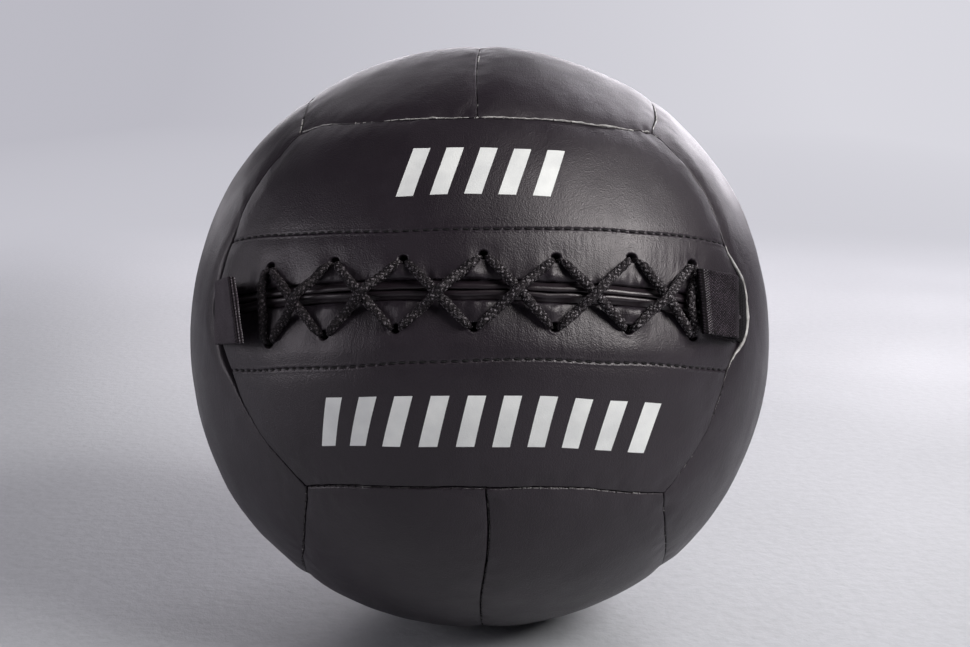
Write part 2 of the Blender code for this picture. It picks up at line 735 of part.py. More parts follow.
def build():
    clear_scene()
    leather = material("black_leather", (0.030, 0.026, 0.029), 0.42)
    piping = material("lip_leather", (0.032, 0.028, 0.031), 0.30)
    backing = material("facing_leather", (0.045, 0.040, 0.043), 0.60)
    braid = material("black_braid", (0.022, 0.021, 0.023), 0.75)
    webbing = material("black_webbing", (0.026, 0.025, 0.028), 0.80)
    canvas = material("tongue_canvas", (0.05, 0.05, 0.05), 0.85)
    foam = material("grey_foam", (0.35, 0.35, 0.36), 0.90)
    fibre = material("fibre_fill", (0.70, 0.68, 0.64), 0.95)
    bag_cloth = material("bag_cloth", (0.45, 0.42, 0.36), 0.90)
    sand = material("iron_sand", (0.06, 0.055, 0.05), 0.70, 0.3)
    twine = material("tie_cord", (0.55, 0.52, 0.45), 0.85)

    ball = bpy.data.objects.new("ball_axes", None)
    ball.location = (0, 0, CENTRE_HEIGHT)
    ball.rotation_euler = (-radians(FRONT_TILT_DEG), 0, 0)
    bpy.context.scene.collection.objects.link(ball)

    panels = {name: leather_panel(name, strip, leather, ball) for name, strip in STRIPS.items()}
    floor = floor_cutter()
    for name in ("bottom_left_panel", "bottom_right_panel"):
        cut(panels[name], floor)

    for row, side, shares in (("upper", 1, UPPER_HOLE_SHARES), ("lower", -1, LOWER_HOLE_SHARES)):
        lip_piping(f"{row}_lip_piping", side, piping, ball)
        facing = slit_facing(f"{row}_facing", STRIPS[f"front_{row}_panel"], backing, ball)
        punch = hole_cutter(f"{row}_hole_cutter", hole_places(shares), ball)
        cut(facing, punch)
        cut(panels[f"front_{row}_panel"], punch)

    tongue_half = CHAMBER_HALF_HEIGHT - CHAMBER_WALL_GAP
    tongue_length = CHAMBER_HALF_LENGTH - CHAMBER_WALL_GAP
    depths = (TONGUE_DEPTH, TONGUE_INNER_DEPTH)
    front_patch("tongue", -tongue_half, tongue_half, tongue_length, *depths, canvas, ball)
    lace(braid, ball)
    lace_knot(braid, ball)

    chamber = cutter(
        front_patch(
            "chamber_cutter",
            -CHAMBER_HALF_HEIGHT,
            CHAMBER_HALF_HEIGHT,
            CHAMBER_HALF_LENGTH,
            PADDING_DEPTH - CUT_OVERRUN,
            PADDING_INNER_DEPTH + CUT_OVERRUN,
            None,
            ball,
        )
    )
    cut(padding_half("padding_front", True, foam, ball), chamber)
    padding_half("padding_rear", False, foam, ball)
    neck = neck_cutter(ball)
    cut(fill_half("fill_front", True, fibre, ball), neck)
    cut(fill_half("fill_rear", False, fibre, ball), neck)
    weight_bag(bag_cloth, ball)
    iron_sand(sand, ball)
    bag_tie(twine, ball)

    left = (LEFT_TAB_LIFT_DEG, LEFT_TAB_CENTRE, LEFT_TAB_DROP, LEFT_TAB_TWIST_SHARE)
    right = (RIGHT_TAB_LIFT_DEG, RIGHT_TAB_CENTRE, RIGHT_TAB_DROP, RIGHT_TAB_TWIST_SHARE)
    pull_tab("left_pull_tab", -1, *left, webbing, ball)
    pull_tab("right_pull_tab", 1, *right, webbing, ball)


build()
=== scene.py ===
"""The looks of the soft wall ball: sewn leather, slit lips, braided lace, webbing tabs and plain marks."""

from math import acos, asin, cos, pi, radians, sin, sqrt

import bmesh
import bpy
import numpy as np
from mathutils import Euler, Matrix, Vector


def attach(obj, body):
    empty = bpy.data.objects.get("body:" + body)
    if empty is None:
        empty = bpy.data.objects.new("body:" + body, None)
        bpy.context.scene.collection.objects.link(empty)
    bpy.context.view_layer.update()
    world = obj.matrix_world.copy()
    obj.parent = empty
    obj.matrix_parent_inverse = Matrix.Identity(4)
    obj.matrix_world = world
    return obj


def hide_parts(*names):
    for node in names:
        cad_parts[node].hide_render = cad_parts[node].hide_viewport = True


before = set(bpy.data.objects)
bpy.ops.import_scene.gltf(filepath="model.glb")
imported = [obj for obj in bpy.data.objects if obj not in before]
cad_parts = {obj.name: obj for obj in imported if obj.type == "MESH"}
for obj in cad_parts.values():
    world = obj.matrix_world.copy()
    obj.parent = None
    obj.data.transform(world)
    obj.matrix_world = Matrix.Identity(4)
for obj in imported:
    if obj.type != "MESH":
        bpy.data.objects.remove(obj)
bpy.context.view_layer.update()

# All lengths below are in millimetres until a mesh is made.
MM = 0.001
BALL_RADIUS = 178.0
FULLNESS = 4.6
FULLNESS_LEVEL = 0.75
TILT = radians(18.5)
FLAT_DEPTH = 3.0
CUT = {"Y": 0.625, "Z": 0.543}
CUT["X"] = sqrt(1 - CUT["Y"] ** 2 - CUT["Z"] ** 2)
AXIS = {"X": np.array((1.0, 0, 0)), "Y": np.array((0, 1.0, 0)), "Z": np.array((0, 0, 1.0))}
FLOOR_UP = np.array((0, -sin(TILT), cos(TILT)))

SEAM_HALF_GAP = 0.10
SEAM_ROLL = 0.62
SEAM_DEEPEST = 4.5
SEAM_DIP = 1.0
SEAM_DIP_RUN = 14.0
SKIRT = 3.2
STITCH_PERIOD = 5.2

LIP_GAP = 0.5
LIP_WIDTH = 4.6
SLIT_EDGE = LIP_WIDTH + LIP_GAP / 2 + 0.25
SLIT_ROLL = 1.2


def pairs(across, up):
    return np.stack([across, up], 1)


# The lace holes and the points that the topstitch rows run through, as shares of the radius across and up.
UPPER_HOLES = pairs(
    (-0.607, -0.411, -0.209, 0.022, 0.228, 0.446, 0.633),
    (0.094, 0.091, 0.089, 0.101, 0.100, 0.116, 0.122),
)
LOWER_HOLES = pairs(
    (-0.604, -0.429, -0.223, -0.005, 0.223, 0.433, 0.630),
    (-0.132, -0.119, -0.111, -0.105, -0.099, -0.096, -0.092),
)
UPPER_ROW = pairs(
    (-0.735, -0.447, -0.145, 0.049, 0.231, 0.422, 0.738),
    (0.209, 0.184, 0.172, 0.181, 0.186, 0.194, 0.210),
)
LOWER_ROW = pairs(
    (-0.730, -0.423, -0.166, 0.048, 0.222, 0.457, 0.731),
    (-0.203, -0.210, -0.203, -0.196, -0.191, -0.187, -0.180),
)

# Where the sewing draws the seams out of their plan: (place, shift, reach), as shares of the radius.
SEAM_PULLS = (
    ((-0.62, -0.64, -0.45), (0.080, 0.0, 0.020), 0.25),
    ((-0.55, -0.62, -0.58), (0.034, 0.0, 0.026), 0.17),
    ((-0.55, -0.45, -0.70), (0.022, 0.0, 0.0), 0.15),
    ((-0.48, -0.68, 0.543), (0.0, 0.0, 0.022), 0.10),
    ((-0.70, -0.625, 0.35), (-0.030, 0.0, 0.0), 0.16),
    ((-0.78, -0.625, 0.11), (-0.062, 0.0, 0.0), 0.10),
    ((-0.78, -0.625, -0.12), (-0.042, 0.0, 0.0), 0.10),
    ((-0.80, -0.60, 0.0), (-0.052, 0.030, 0.0), 0.08),
    ((0.775, -0.625, 0.080), (0.0, 0.094, 0.0), 0.085),
    ((0.775, -0.625, -0.045), (0.0, 0.088, 0.0), 0.080),
    ((0.561, -0.625, 0.543), (-0.036, 0.0, 0.002), 0.09),
    ((0.0, -0.75, -0.66), (0.043, 0.0, 0.0), 0.32),
    ((0.0, -0.10, -1.0), (0.022, 0.0, 0.0), 0.40),
    ((0.561, -0.30, -0.78), (0.066, 0.0, 0.0), 0.27),
    ((0.561, -0.02, -0.83), (0.045, 0.0, 0.0), 0.20),
    ((0.0, -0.60, 0.80), (-0.012, 0.0, 0.0), 0.35),
    ((0.08, -0.83, -0.543), (0.0, 0.0, -0.008), 0.16),
    ((0.50, -0.68, -0.54), (-0.006, 0.0, -0.010), 0.16),
    ((0.70, -0.625, 0.33), (0.016, 0.0, 0.0), 0.12),
)


def waves(points, length, seed, count=14):
    """Smooth noise of about unit size over 3-D points, with features of about the given length."""
    rng = np.random.default_rng(seed)
    total = np.zeros(points.shape[:-1])
    for _ in range(count):
        way = rng.normal(size=3)
        way /= np.linalg.norm(way)
        pitch = length * rng.uniform(0.7, 1.5)
        total += np.sin(points @ way * (2 * pi / pitch) + rng.uniform(0, 2 * pi))
    return total / sqrt(count / 2)


def line_waves(places, length, seed, count=10):
    return waves(np.stack([places, 0 * places, 0 * places], -1), length, seed, count)


def layers(points, table):
    """The sum of several layers of noise, each (size, length, seed)."""
    return sum(size * waves(points, length, seed) for size, length, seed in table)


def bump(distance, width):
    return np.exp(-((distance / width) ** 2))


def ramp(value, low, high):
    share = np.clip((value - low) / (high - low), 0, 1)
    return share * share * (3 - 2 * share)


def near(d, place, reach):
    return np.exp(-((d - np.array(place)) ** 2).sum(-1) / reach**2)


def all_near(d, spots):
    """The sum of several soft spots over directions, each (amount, place, reach)."""
    return sum(amount * near(d, place, reach) for amount, place, reach in spots)


def on_front(d):
    return ramp(-d[..., 1], 0.2, 0.5)


def skin_radius(d):
    return BALL_RADIUS + FULLNESS * (FULLNESS_LEVEL - (d**4).sum(-1))


CENTRE_HEIGHT = float(skin_radius(-FLOOR_UP)) - FLAT_DEPTH
BALL_CENTRE = np.array((0, 0, CENTRE_HEIGHT))
WANDER = 0.0011
WANDER_LENGTH = 0.30
UNDERSIDE_SPREAD = 1.2
UNDERSIDE_SAG = 0.3
UNDERSIDE_SAG_REACH = 4.0
LEAST_HEIGHT = 0.02


def warped(d):
    """Where the sewing really put each place, with a little wander everywhere."""
    moved = d + np.stack([waves(d, WANDER_LENGTH, seed) for seed in (11, 12, 13)], -1) * WANDER
    for place, shift, reach in SEAM_PULLS:
        moved = moved + near(d, place, reach)[..., None] * np.array(shift)
    return moved / np.linalg.norm(moved, axis=-1, keepdims=True)


def settled(world):
    """The ball's underside spreads flat on the floor."""
    z = world[..., 2]
    sag = UNDERSIDE_SAG * np.exp(-np.abs(z) / UNDERSIDE_SAG_REACH)
    world[..., 2] = np.maximum((z + np.sqrt(z * z + UNDERSIDE_SPREAD)) / 2 - sag, LEAST_HEIGHT)
    return world


def to_world(local):
    x, y, z = local[..., 0], local[..., 1], local[..., 2]
    rows = [x, y * cos(TILT) + z * sin(TILT), z * cos(TILT) - y * sin(TILT) + CENTRE_HEIGHT]
    return settled(np.stack(rows, -1))


def laid(d, height):
    """Points at a height over the skin, in the world."""
    return to_world(warped(d) * (skin_radius(d) + height)[..., None])


def outward_at(points):
    away = points - BALL_CENTRE
    return away / np.linalg.norm(away, axis=-1, keepdims=True)


def front_direction(x, u):
    a, b = x / BALL_RADIUS, u / BALL_RADIUS
    return np.stack([a, -np.sqrt(np.maximum(1 - a * a - b * b, 1e-6)), b], -1)


def row_height(row, x):
    """How far up a row of topstitching runs at each place across."""
    fit = np.polyfit(row[:, 0], row[:, 1], 4)
    return np.polyval(fit, x / BALL_RADIUS) * BALL_RADIUS


def arc_across(x):
    """Distance round the front from its middle to each place across."""
    return BALL_RADIUS * np.arcsin(np.clip(x / BALL_RADIUS, -0.95, 0.95))


COLUMNS = (UPPER_HOLES[:, 0] + LOWER_HOLES[:, 0]) / 2 * BALL_RADIUS
CROSSINGS = (COLUMNS[1:] + COLUMNS[:-1]) / 2


# What sewing and lacing do to the front panels. Depths, heights and reaches are in millimetres.

SWELL_HALF_WIDTH = 9.5
SWELL_HEIGHT = 1.75
SWELL_TOP = 3.6
VALLEY_DEPTH = 0.9
VALLEY_REACH = 8.0
LOW_BULGE = 2.3
LOW_BULGE_RISE = (1, 31)
LOW_BULGE_FALL = (34, 90)
LOW_BULGE_ENDS = (105, 130)
LOW_DIP = 0.7
LOW_DIP_END = (6, 31)
SLIT_SINK = 0.4
SLIT_SINK_REACH = 6.0
SCALLOP_DEPTH = 0.42
SCALLOP_LENGTH = 5.5
SCALLOP_REACH = 2.6


def slit_relief(d, x, u):
    """Along the slit the leather swells at the columns of holes, lies low between them and is scalloped."""
    off_slit = np.clip(np.abs(u) - SLIT_EDGE, 0, None)
    swell = np.clip(sum(bump(x - column, SWELL_HALF_WIDTH) for column in COLUMNS), 0, 1)
    hill = off_slit / SWELL_TOP
    uneven = 1 + 0.30 * waves(d * BALL_RADIUS * (1, 1, 0.35), 11, 21)
    height = SWELL_HEIGHT * swell * uneven * hill * np.exp(1 - hill)
    height -= VALLEY_DEPTH * (1 - swell) * np.exp(-off_slit / VALLEY_REACH)
    low = LOW_BULGE * ramp(-u, *LOW_BULGE_RISE) * (1 - ramp(-u, *LOW_BULGE_FALL))
    low = low - LOW_DIP * (u < 0) * (1 - ramp(-u, *LOW_DIP_END))
    height += low * (1 - ramp(np.abs(x), *LOW_BULGE_ENDS)) - SLIT_SINK * np.exp(-off_slit / SLIT_SINK_REACH)
    scallop = waves(d * BALL_RADIUS * (1, 1, 0.2), SCALLOP_LENGTH, 22) * np.exp(-off_slit / SCALLOP_REACH)
    return height + SCALLOP_DEPTH * scallop * ramp(off_slit, 0.2, 1.6)


ROW_VALLEY = 0.35
ROW_VALLEY_REACH = 4.5
STITCH_GROOVE = 0.62
STITCH_GROOVE_REACH = 0.66
BRIDGE_RISE = 0.40
LOW_RIM = 0.22
LOW_RIM_OFF = 1.35
HIGH_RIM = 0.06
HIGH_RIM_OFF = 1.3


def topstitch_relief(x, u):
    """Each row of topstitching lies in a shallow valley, in a groove that is deepest at the stitches."""
    between = 0.5 - 0.5 * np.cos(2 * pi * arc_across(x) / STITCH_PERIOD)
    height = np.zeros(x.shape)
    for row in (UPPER_ROW, LOWER_ROW):
        off = u - row_height(row, x)
        height -= ROW_VALLEY * bump(off, ROW_VALLEY_REACH)
        height -= (STITCH_GROOVE - BRIDGE_RISE * between**3) * bump(off, STITCH_GROOVE_REACH)
        height += (LOW_RIM - 0.14 * between) * bump(off + LOW_RIM_OFF, 0.6)
        height += HIGH_RIM * bump(off - HIGH_RIM_OFF, 0.7)
    return height


def crease_relief(x, u):
    """Fine creases fan out from the lacing, most to the right above it, and fade out beside the right tab."""
    room = ramp(np.abs(u), 11, 17) * (1 - ramp(np.abs(u), 27, 36))
    strength = np.where(u > 0, 0.010 + 0.030 * ramp(x, 15, 105), 0.010 + 0.015 * ramp(x, 0, 90))
    strength = strength * (1 - 0.8 * ramp(x, 105, 118))
    fan = np.stack([x - 0.10 * (x - 60) * (np.abs(u) / 60), 0.14 * u, 0 * x], -1)
    return strength * room * (waves(fan, 3.6, 31, 18) + 0.5 * waves(fan, 1.9, 32, 18))


HOLE_RADIUS = 2.35
HOLE_DEPTH = 6.5
HOLE_SINK = 0.75
HOLE_RIM = 0.10
HOLE_RIM_PULL = 0.28
HOLE_RIM_SHARE = 1.38


def hole_relief(x, u):
    """Each punched hole is sunk and has a low rim, which the lace pulls up on one side of the lower ones."""
    height = np.zeros(x.shape)
    for holes, way in ((UPPER_HOLES, 1), (LOWER_HOLES, -1)):
        for across, up in holes * BALL_RADIUS:
            dx, du = x - across, (u - up) * way
            reach = np.hypot(dx, du) / HOLE_RADIUS
            crescent = ramp(-way * du, -1, 2.5) * ramp(-dx, -2, 2)
            height -= HOLE_SINK * bump(reach, 2.6)
            height += (HOLE_RIM + HOLE_RIM_PULL * crescent * (way < 0)) * bump(reach - HOLE_RIM_SHARE, 0.25)
            height -= HOLE_DEPTH * (1 - ramp(reach, 0.80, 1.12))
    return height


# Hollows under the left tab and under both tabs' roots: (depth, across, up, half width, half height).
TAB_HOLLOWS = (
    (2.2, -0.685 * BALL_RADIUS, -2, 8, 22),
    (1.5, 0.805 * BALL_RADIUS, 2, 7, 18),
    (1.0, -0.805 * BALL_RADIUS, -3, 5, 18),
)


def front_relief(d):
    """All that sewing and lacing do to the front panels, as a height over the skin."""
    x, u = d[..., 0] * BALL_RADIUS, d[..., 2] * BALL_RADIUS
    height = slit_relief(d, x, u) + topstitch_relief(x, u) + crease_relief(x, u) + hole_relief(x, u)
    for depth, across, up, half_width, half_height in TAB_HOLLOWS:
        height -= depth * bump(x - across, half_width) * bump(u - up, half_height)
    return height


# Where the seams are drawn in and where their leathers stand apart: (amount, place, reach).
ABOVE_LEFT_TAB = (-0.80, -0.595, 0.128)
BELOW_LEFT_TAB = (-0.77, -0.62, -0.160)
BEHIND_LEFT_TAB = (-0.83, -0.56, 0.0)
SEAM_DEPTHS = (
    (32.0, ABOVE_LEFT_TAB, 0.070),
    (26.0, BELOW_LEFT_TAB, 0.080),
    (7.0, BEHIND_LEFT_TAB, 0.05),
    (8.0, (0.81, -0.58, 0.02), 0.12),
    (2.2, (-0.30, -0.78, -0.55), 0.26),
    (2.5, (-0.5, -0.66, -0.55), 0.07),
    (1.6, (0.02, -0.72, -0.68), 0.16),
)
SEAM_GAPS = ((1.3, ABOVE_LEFT_TAB, 0.060), (1.1, BELOW_LEFT_TAB, 0.070), (0.6, BEHIND_LEFT_TAB, 0.05))
LEAST_SEAM_DEPTH = 0.35


def seam_depth(d):
    """Seams are drawn in deepest round the roots of the tabs, and are hardly open elsewhere."""
    depth = 0.75 + 0.25 * waves(d, 0.25, 45) + all_near(d, SEAM_DEPTHS)
    depth += 1.3 * ramp(-d[..., 2], 0.50, 0.56) * on_front(d)
    return np.clip(depth, LEAST_SEAM_DEPTH, None)


SKIN_NOISE = ((0.32, 0.42, 41), (0.06, 0.12, 42))
GATHER_NOISE = ((0.15, 0.085, 43), (0.05, 0.035, 44))
GATHER_REACH = 10
PINCH_DEPTH = 0.16
PINCH_REACH = 1.6
SLIT_ROLL_GAIN = 1.3


def rolled(away, radius):
    """How deep a turned-in edge of this radius lies at a distance from the seam."""
    inside = np.clip(1 - away / radius, 0, 1)
    return radius * (1 - np.sqrt(1 - inside * inside))


class Strip:
    """One leather strip, laid out along one axis, with its edge across another, facing a third."""

    def __init__(self, along, across, facing, at_slit=False):
        self.along = AXIS[along]
        self.across = AXIS[across[1]] * (1 if across[0] == "+" else -1)
        self.facing = AXIS[facing[1]] * (1 if facing[0] == "+" else -1)
        self.seam = CUT[across[1]]
        self.inner = (SLIT_EDGE if at_slit else SEAM_HALF_GAP) / BALL_RADIUS
        self.outer = self.seam - SEAM_HALF_GAP / BALL_RADIUS
        self.end = CUT[facing[1]] + SEAM_HALF_GAP / BALL_RADIUS
        self.at_slit = at_slit

    def direction(self, along_share, side):
        band = np.sqrt(1 - side * side)
        return self.at_angle(along_share * np.arccos(self.end / band), side)

    def at_angle(self, angle, side):
        band = np.sqrt(1 - side * side)
        return (
            self.along * (band * np.sin(angle))[..., None]
            + self.across * side[..., None]
            + self.facing * (band * np.cos(angle))[..., None]
        )

    def height(self, d):
        """The leather's height over the skin."""
        side = np.clip(d @ self.across, -0.9, 0.9)
        band = np.sqrt(1 - side * side)
        angle = np.arctan2(d @ self.along, d @ self.facing)
        swing = np.arccos(np.clip(self.end / band, -1, 1))
        to_outer = BALL_RADIUS * (asin(self.outer) - np.arcsin(side))
        to_inner = BALL_RADIUS * (np.arcsin(side) - asin(self.inner))
        to_end = BALL_RADIUS * band * (swing - np.abs(angle))
        run, rise = BALL_RADIUS * band * angle, BALL_RADIUS * np.arcsin(side)
        seams = [(to_outer, run), (to_end, rise)] + ([] if self.at_slit else [(to_inner, run)])
        free = 1
        height, gather = layers(d, SKIN_NOISE), layers(d, GATHER_NOISE)
        depth, gap = seam_depth(d), all_near(d, SEAM_GAPS)
        for away, along in seams:
            away = np.clip(away, 0, None)
            free = free * (1 - np.clip(1 - away / SEAM_DIP_RUN, 0, 1) ** 2)
            height = height + gather * np.exp(-away / GATHER_REACH)
            pinch = 0.5 + 0.5 * np.cos(2 * pi * along / STITCH_PERIOD)
            height = height - PINCH_DEPTH * pinch * np.exp(-away / PINCH_REACH)
            past = np.clip(away - gap, 0, None) / np.sqrt(depth)
            height = height - rolled(past, SEAM_ROLL) * np.minimum(depth, SEAM_DEEPEST)
        height = height - SEAM_DIP * (1 - free)
        if self.at_slit:
            roll = SLIT_ROLL_GAIN * rolled(np.clip(to_inner, 0, None), SLIT_ROLL)
            height = height - roll + front_relief(d)
        return height


STRIPS = {
    "front_upper_panel": Strip("X", "+Z", "-Y", at_slit=True),
    "front_lower_panel": Strip("X", "-Z", "-Y", at_slit=True),
    "back_upper_panel": Strip("X", "+Z", "+Y"),
    "back_lower_panel": Strip("X", "-Z", "+Y"),
    "top_left_panel": Strip("Y", "-X", "+Z"),
    "top_right_panel": Strip("Y", "+X", "+Z"),
    "bottom_left_panel": Strip("Y", "-X", "-Z"),
    "bottom_right_panel": Strip("Y", "+X", "-Z"),
    "left_front_panel": Strip("Z", "-Y", "-X"),
    "left_rear_panel": Strip("Z", "+Y", "-X"),
    "right_front_panel": Strip("Z", "-Y", "+X"),
    "right_rear_panel": Strip("Z", "+Y", "+X"),
}


def graded(length, coarse, zones=()):
    """Places along a length, close together near its ends and in the given zones of (start, end, step)."""
    places = [0.0]
    while places[-1] < length:
        here = places[-1]
        edge = min(here, length - here)
        step = min(coarse, 0.12 + 0.20 * max(0, edge - 0.5))
        for start, end, zone_step in zones:
            if start <= here <= end:
                step = min(step, zone_step)
        places.append(here + max(step, 0.12))
    places = np.array(places)
    return places / places[-1]


def new_object(name, mesh):
    mesh.shade_smooth()
    obj = bpy.data.objects.new(name, mesh)
    bpy.context.scene.collection.objects.link(obj)
    return obj


def from_bmesh(name, made):
    mesh = bpy.data.meshes.new(name)
    made.to_mesh(mesh)
    made.free()
    return new_object(name, mesh)


def cells_of(index, flip):
    """The corners of every cell of a grid of indices."""
    corners = [index[:-1, :-1], index[:-1, 1:], index[1:, 1:], index[1:, :-1]]
    return np.stack(corners[::-1] if flip else corners, -1).reshape(-1, 4)


def mesh_from_grid(name, points, wrap=False, uv=None, flip=False):
    """A smooth sheet over a grid of points in millimetres. With wrap, the second index closes on itself."""
    index = np.arange(points[..., 0].size).reshape(points.shape[:2])
    if wrap:
        index = np.concatenate([index, index[:, :1]], 1)
    faces = cells_of(index, flip)
    mesh = bpy.data.meshes.new(name)
    mesh.vertices.add(points[..., 0].size)
    mesh.vertices.foreach_set("co", (points * MM).reshape(-1))
    mesh.loops.add(faces.size)
    mesh.loops.foreach_set("vertex_index", faces.reshape(-1))
    mesh.polygons.add(len(faces))
    mesh.polygons.foreach_set("loop_start", np.arange(0, faces.size, 4))
    mesh.update(calc_edges=True)
    if uv is not None:
        if wrap:
            uv = np.concatenate([uv, uv[:, :1] + (1, 0)], 1)
        picks = cells_of(np.arange(uv[..., 0].size).reshape(uv.shape[:2]), flip).reshape(-1)
        layer = mesh.uv_layers.new(name="UVMap")
        layer.data.foreach_set("uv", uv.reshape(-1, 2)[picks].reshape(-1))
    return new_object(name, mesh)


def finished(obj, material, body="ball", nodes=()):
    """Gives a piece its material, its body and the solids that it stands for."""
    obj.data.materials.append(material)
    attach(obj, body)
    if nodes:
        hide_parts(*nodes)
    return obj


# Materials.


class Nodes:
    """A short way to write a material's nodes."""

    def __init__(self, name):
        self.material = bpy.data.materials.new(name)
        self.material.use_nodes = True
        self.tree = self.material.node_tree
        self.shader = self.tree.nodes["Principled BSDF"]

    def add(self, kind, inputs=None, **settings):
        node = self.tree.nodes.new(kind)
        for key, value in settings.items():
            setattr(node, key, value)
        for key, value in (inputs or {}).items():
            self.put(node.inputs[key], value)
        return node

    def put(self, socket, value):
        if isinstance(value, bpy.types.NodeSocket):
            self.tree.links.new(value, socket)
        else:
            socket.default_value = value

    def noise(self, vector, scale, detail=3.0, rough=0.55):
        inputs = {"Vector": vector, "Scale": scale, "Detail": detail, "Roughness": rough}
        return self.add("ShaderNodeTexNoise", inputs).outputs["Fac"]

    def cells(self, vector, scale, feature="F1"):
        node = self.add("ShaderNodeTexVoronoi", {"Vector": vector, "Scale": scale}, feature=feature)
        return node.outputs["Distance"]

    def math(self, operation, a, b=0.0):
        return self.add("ShaderNodeMath", {0: a, 1: b}, operation=operation).outputs[0]

    def mapped(self, value, low, high, to_low=0.0, to_high=1.0):
        node = self.add("ShaderNodeMapRange", {"Value": value, "From Min": low, "From Max": high})
        node.inputs["To Min"].default_value = to_low
        node.inputs["To Max"].default_value = to_high
        return node.outputs[0]

    def plus(self, a, b):
        return self.math("ADD", a, b)

    def times(self, a, b):
        return self.math("MULTIPLY", a, b)

    def wave(self, value, pitch=2 * pi):
        """A sine of the given pitch."""
        return self.math("SINE", self.times(value, 2 * pi / pitch))

    def size_of(self, value):
        return self.math("ABSOLUTE", value)

    def mix(self, share, a, b):
        node = self.add("ShaderNodeMix", data_type="RGBA")
        self.put(node.inputs["Factor"], share)
        self.put(node.inputs[6], a if isinstance(a, bpy.types.NodeSocket) else (*a, 1))
        self.put(node.inputs[7], b if isinstance(b, bpy.types.NodeSocket) else (*b, 1))
        return node.outputs[2]

    def bump(self, height, distance, strength=1.0, normal=None):
        node = self.add("ShaderNodeBump", {"Height": height, "Distance": distance, "Strength": strength})
        if normal is not None:
            self.put(node.inputs["Normal"], normal)
        return node.outputs["Normal"]

    def object_space(self, stretch=(1, 1, 1), turn=(0, 0, 0)):
        where = self.add("ShaderNodeTexCoord").outputs["Object"]
        return self.add("ShaderNodeMapping", {"Vector": where, "Scale": stretch, "Rotation": turn}).outputs[0]

    def uv_parts(self):
        node = self.add("ShaderNodeSeparateXYZ", {0: self.add("ShaderNodeTexCoord").outputs["UV"]})
        return node.outputs[0], node.outputs[1]

    def set(self, **values):
        for key, value in values.items():
            self.put(self.shader.inputs[key.replace("_", " ")], value)
        return self.material


GRAIN_SCALE = 1250
FINE_SCALE = 2600
PORE = (0.004, 0.003, 0.004)
LEATHER_TINT = (1, 0.955, 0.965, 1)


def leather_material(name, dark, light, roughness, spread, relief):
    """Grained leather: small cells with fine pores, soft blotches of colour and uneven gloss."""
    n = Nodes(name)
    where = n.object_space()
    grain = n.cells(where, GRAIN_SCALE)
    fine = n.noise(where, FINE_SCALE, 3, 0.7)
    creases = n.noise(n.object_space((1, 1, 0.25), (TILT, 0, 0.3)), 700, 4, 0.62)
    color = n.mix(n.mapped(n.noise(where, 20, 4), 0.3, 0.7), dark, light)
    color = n.mix(n.mapped(grain, 0.0, 0.7, 0.30, 0.0), color, PORE)
    gloss = n.mapped(n.noise(where, 48, 3), 0.3, 0.7, roughness - spread, roughness + spread)
    gloss = n.plus(gloss, n.mapped(fine, 0.3, 0.7, -0.05, 0.05))
    normal = n.bump(n.noise(where, 150, 3), 0.0006 * relief, 0.30)
    normal = n.bump(creases, 0.00026 * relief, 0.55, normal)
    normal = n.bump(grain, 0.00017 * relief, 0.8, normal)
    normal = n.bump(fine, 0.00010 * relief, 0.5, normal)
    n.set(Base_Color=color, Roughness=gloss, Normal=normal)
    return n.set(Specular_IOR_Level=0.5, Specular_Tint=LEATHER_TINT)


# The lace's braid, in millimetres along it and in yarns round it, for its material and its shape.
BRAID_PITCH = 3.1
BRAID_YARNS = 4
YARN_TINT = (1, 0.93, 0.98, 1)


def braid_material():
    """A plaited cord: yarns in two ways cross over and under. Its colour holds painted light: painted shade
    in the weave's low parts, pale flecks that are painted glints on single fibres, and the whole cord painted
    lighter toward the right, where the light falls.
    """
    n = Nodes("braided_lace")
    round_share, run = n.uv_parts()
    steps = n.math("DIVIDE", run, BRAID_PITCH)
    turns = n.times(round_share, BRAID_YARNS)
    ways = (n.plus(steps, turns), n.math("SUBTRACT", steps, turns))
    ridges = [n.size_of(n.math("SINE", n.times(way, pi))) for way in ways]
    over = n.size_of(n.math("MODULO", n.plus(*[n.math("FLOOR", way) for way in ways]), 2.0))
    weave = n.plus(n.times(ridges[0], over), n.times(ridges[1], n.math("SUBTRACT", 1.0, over)))
    where = n.object_space()
    fibre = n.noise(where, 2200, 2, 0.7)
    clumps = n.times(n.noise(where, 620, 2, 0.6), 0.6)
    glint = n.times(n.plus(fibre, clumps), n.mapped(weave, 0, 1, 0.75, 1.0))
    glint = n.mapped(glint, 0.83, 0.95)
    # Painted light: the cord's colours run from darker at the left to lighter at the right.
    paler_share = n.mapped(n.add("ShaderNodeSeparateXYZ", {0: where}).outputs["X"], -0.11, 0.11)
    deep = n.mix(paler_share, (0.0012, 0.0009, 0.0012), (0.0040, 0.0032, 0.0038))
    raised = n.mix(paler_share, (0.0052, 0.0038, 0.0050), (0.0175, 0.0140, 0.0165))
    # Painted shade: the weave's low parts are darker than its raised yarns.
    color = n.mix(n.mapped(weave, 0.1, 0.9), deep, raised)
    # Painted glints: pale flecks on single fibres, paler toward the right.
    color = n.mix(glint, color, n.mix(paler_share, (0.13, 0.11, 0.125), (0.46, 0.43, 0.455)))
    normal = n.bump(fibre, 0.00035, 0.9, n.bump(weave, 0.0005, 0.9))
    n.set(Base_Color=color, Roughness=n.mapped(glint, 0, 1, 0.62, 0.38), Normal=normal)
    return n.set(Specular_IOR_Level=0.22, Specular_Tint=YARN_TINT)


# Webbing: its colours where it is low and high are for a gain of 1, and its weave is in millimetres. The low
# colour is painted shade in the weave's low parts.
WEBBING_LOW = np.array((0.0058, 0.0044, 0.0056))
WEBBING_HIGH = np.array((0.025, 0.0195, 0.024))
WEBBING_SHADE = (0.0016, 0.0013, 0.0016)
WEBBING_TINT = (1, 0.92, 1, 1)
COLUMN_PITCH = 1.45
STEP_PITCH = 1.5


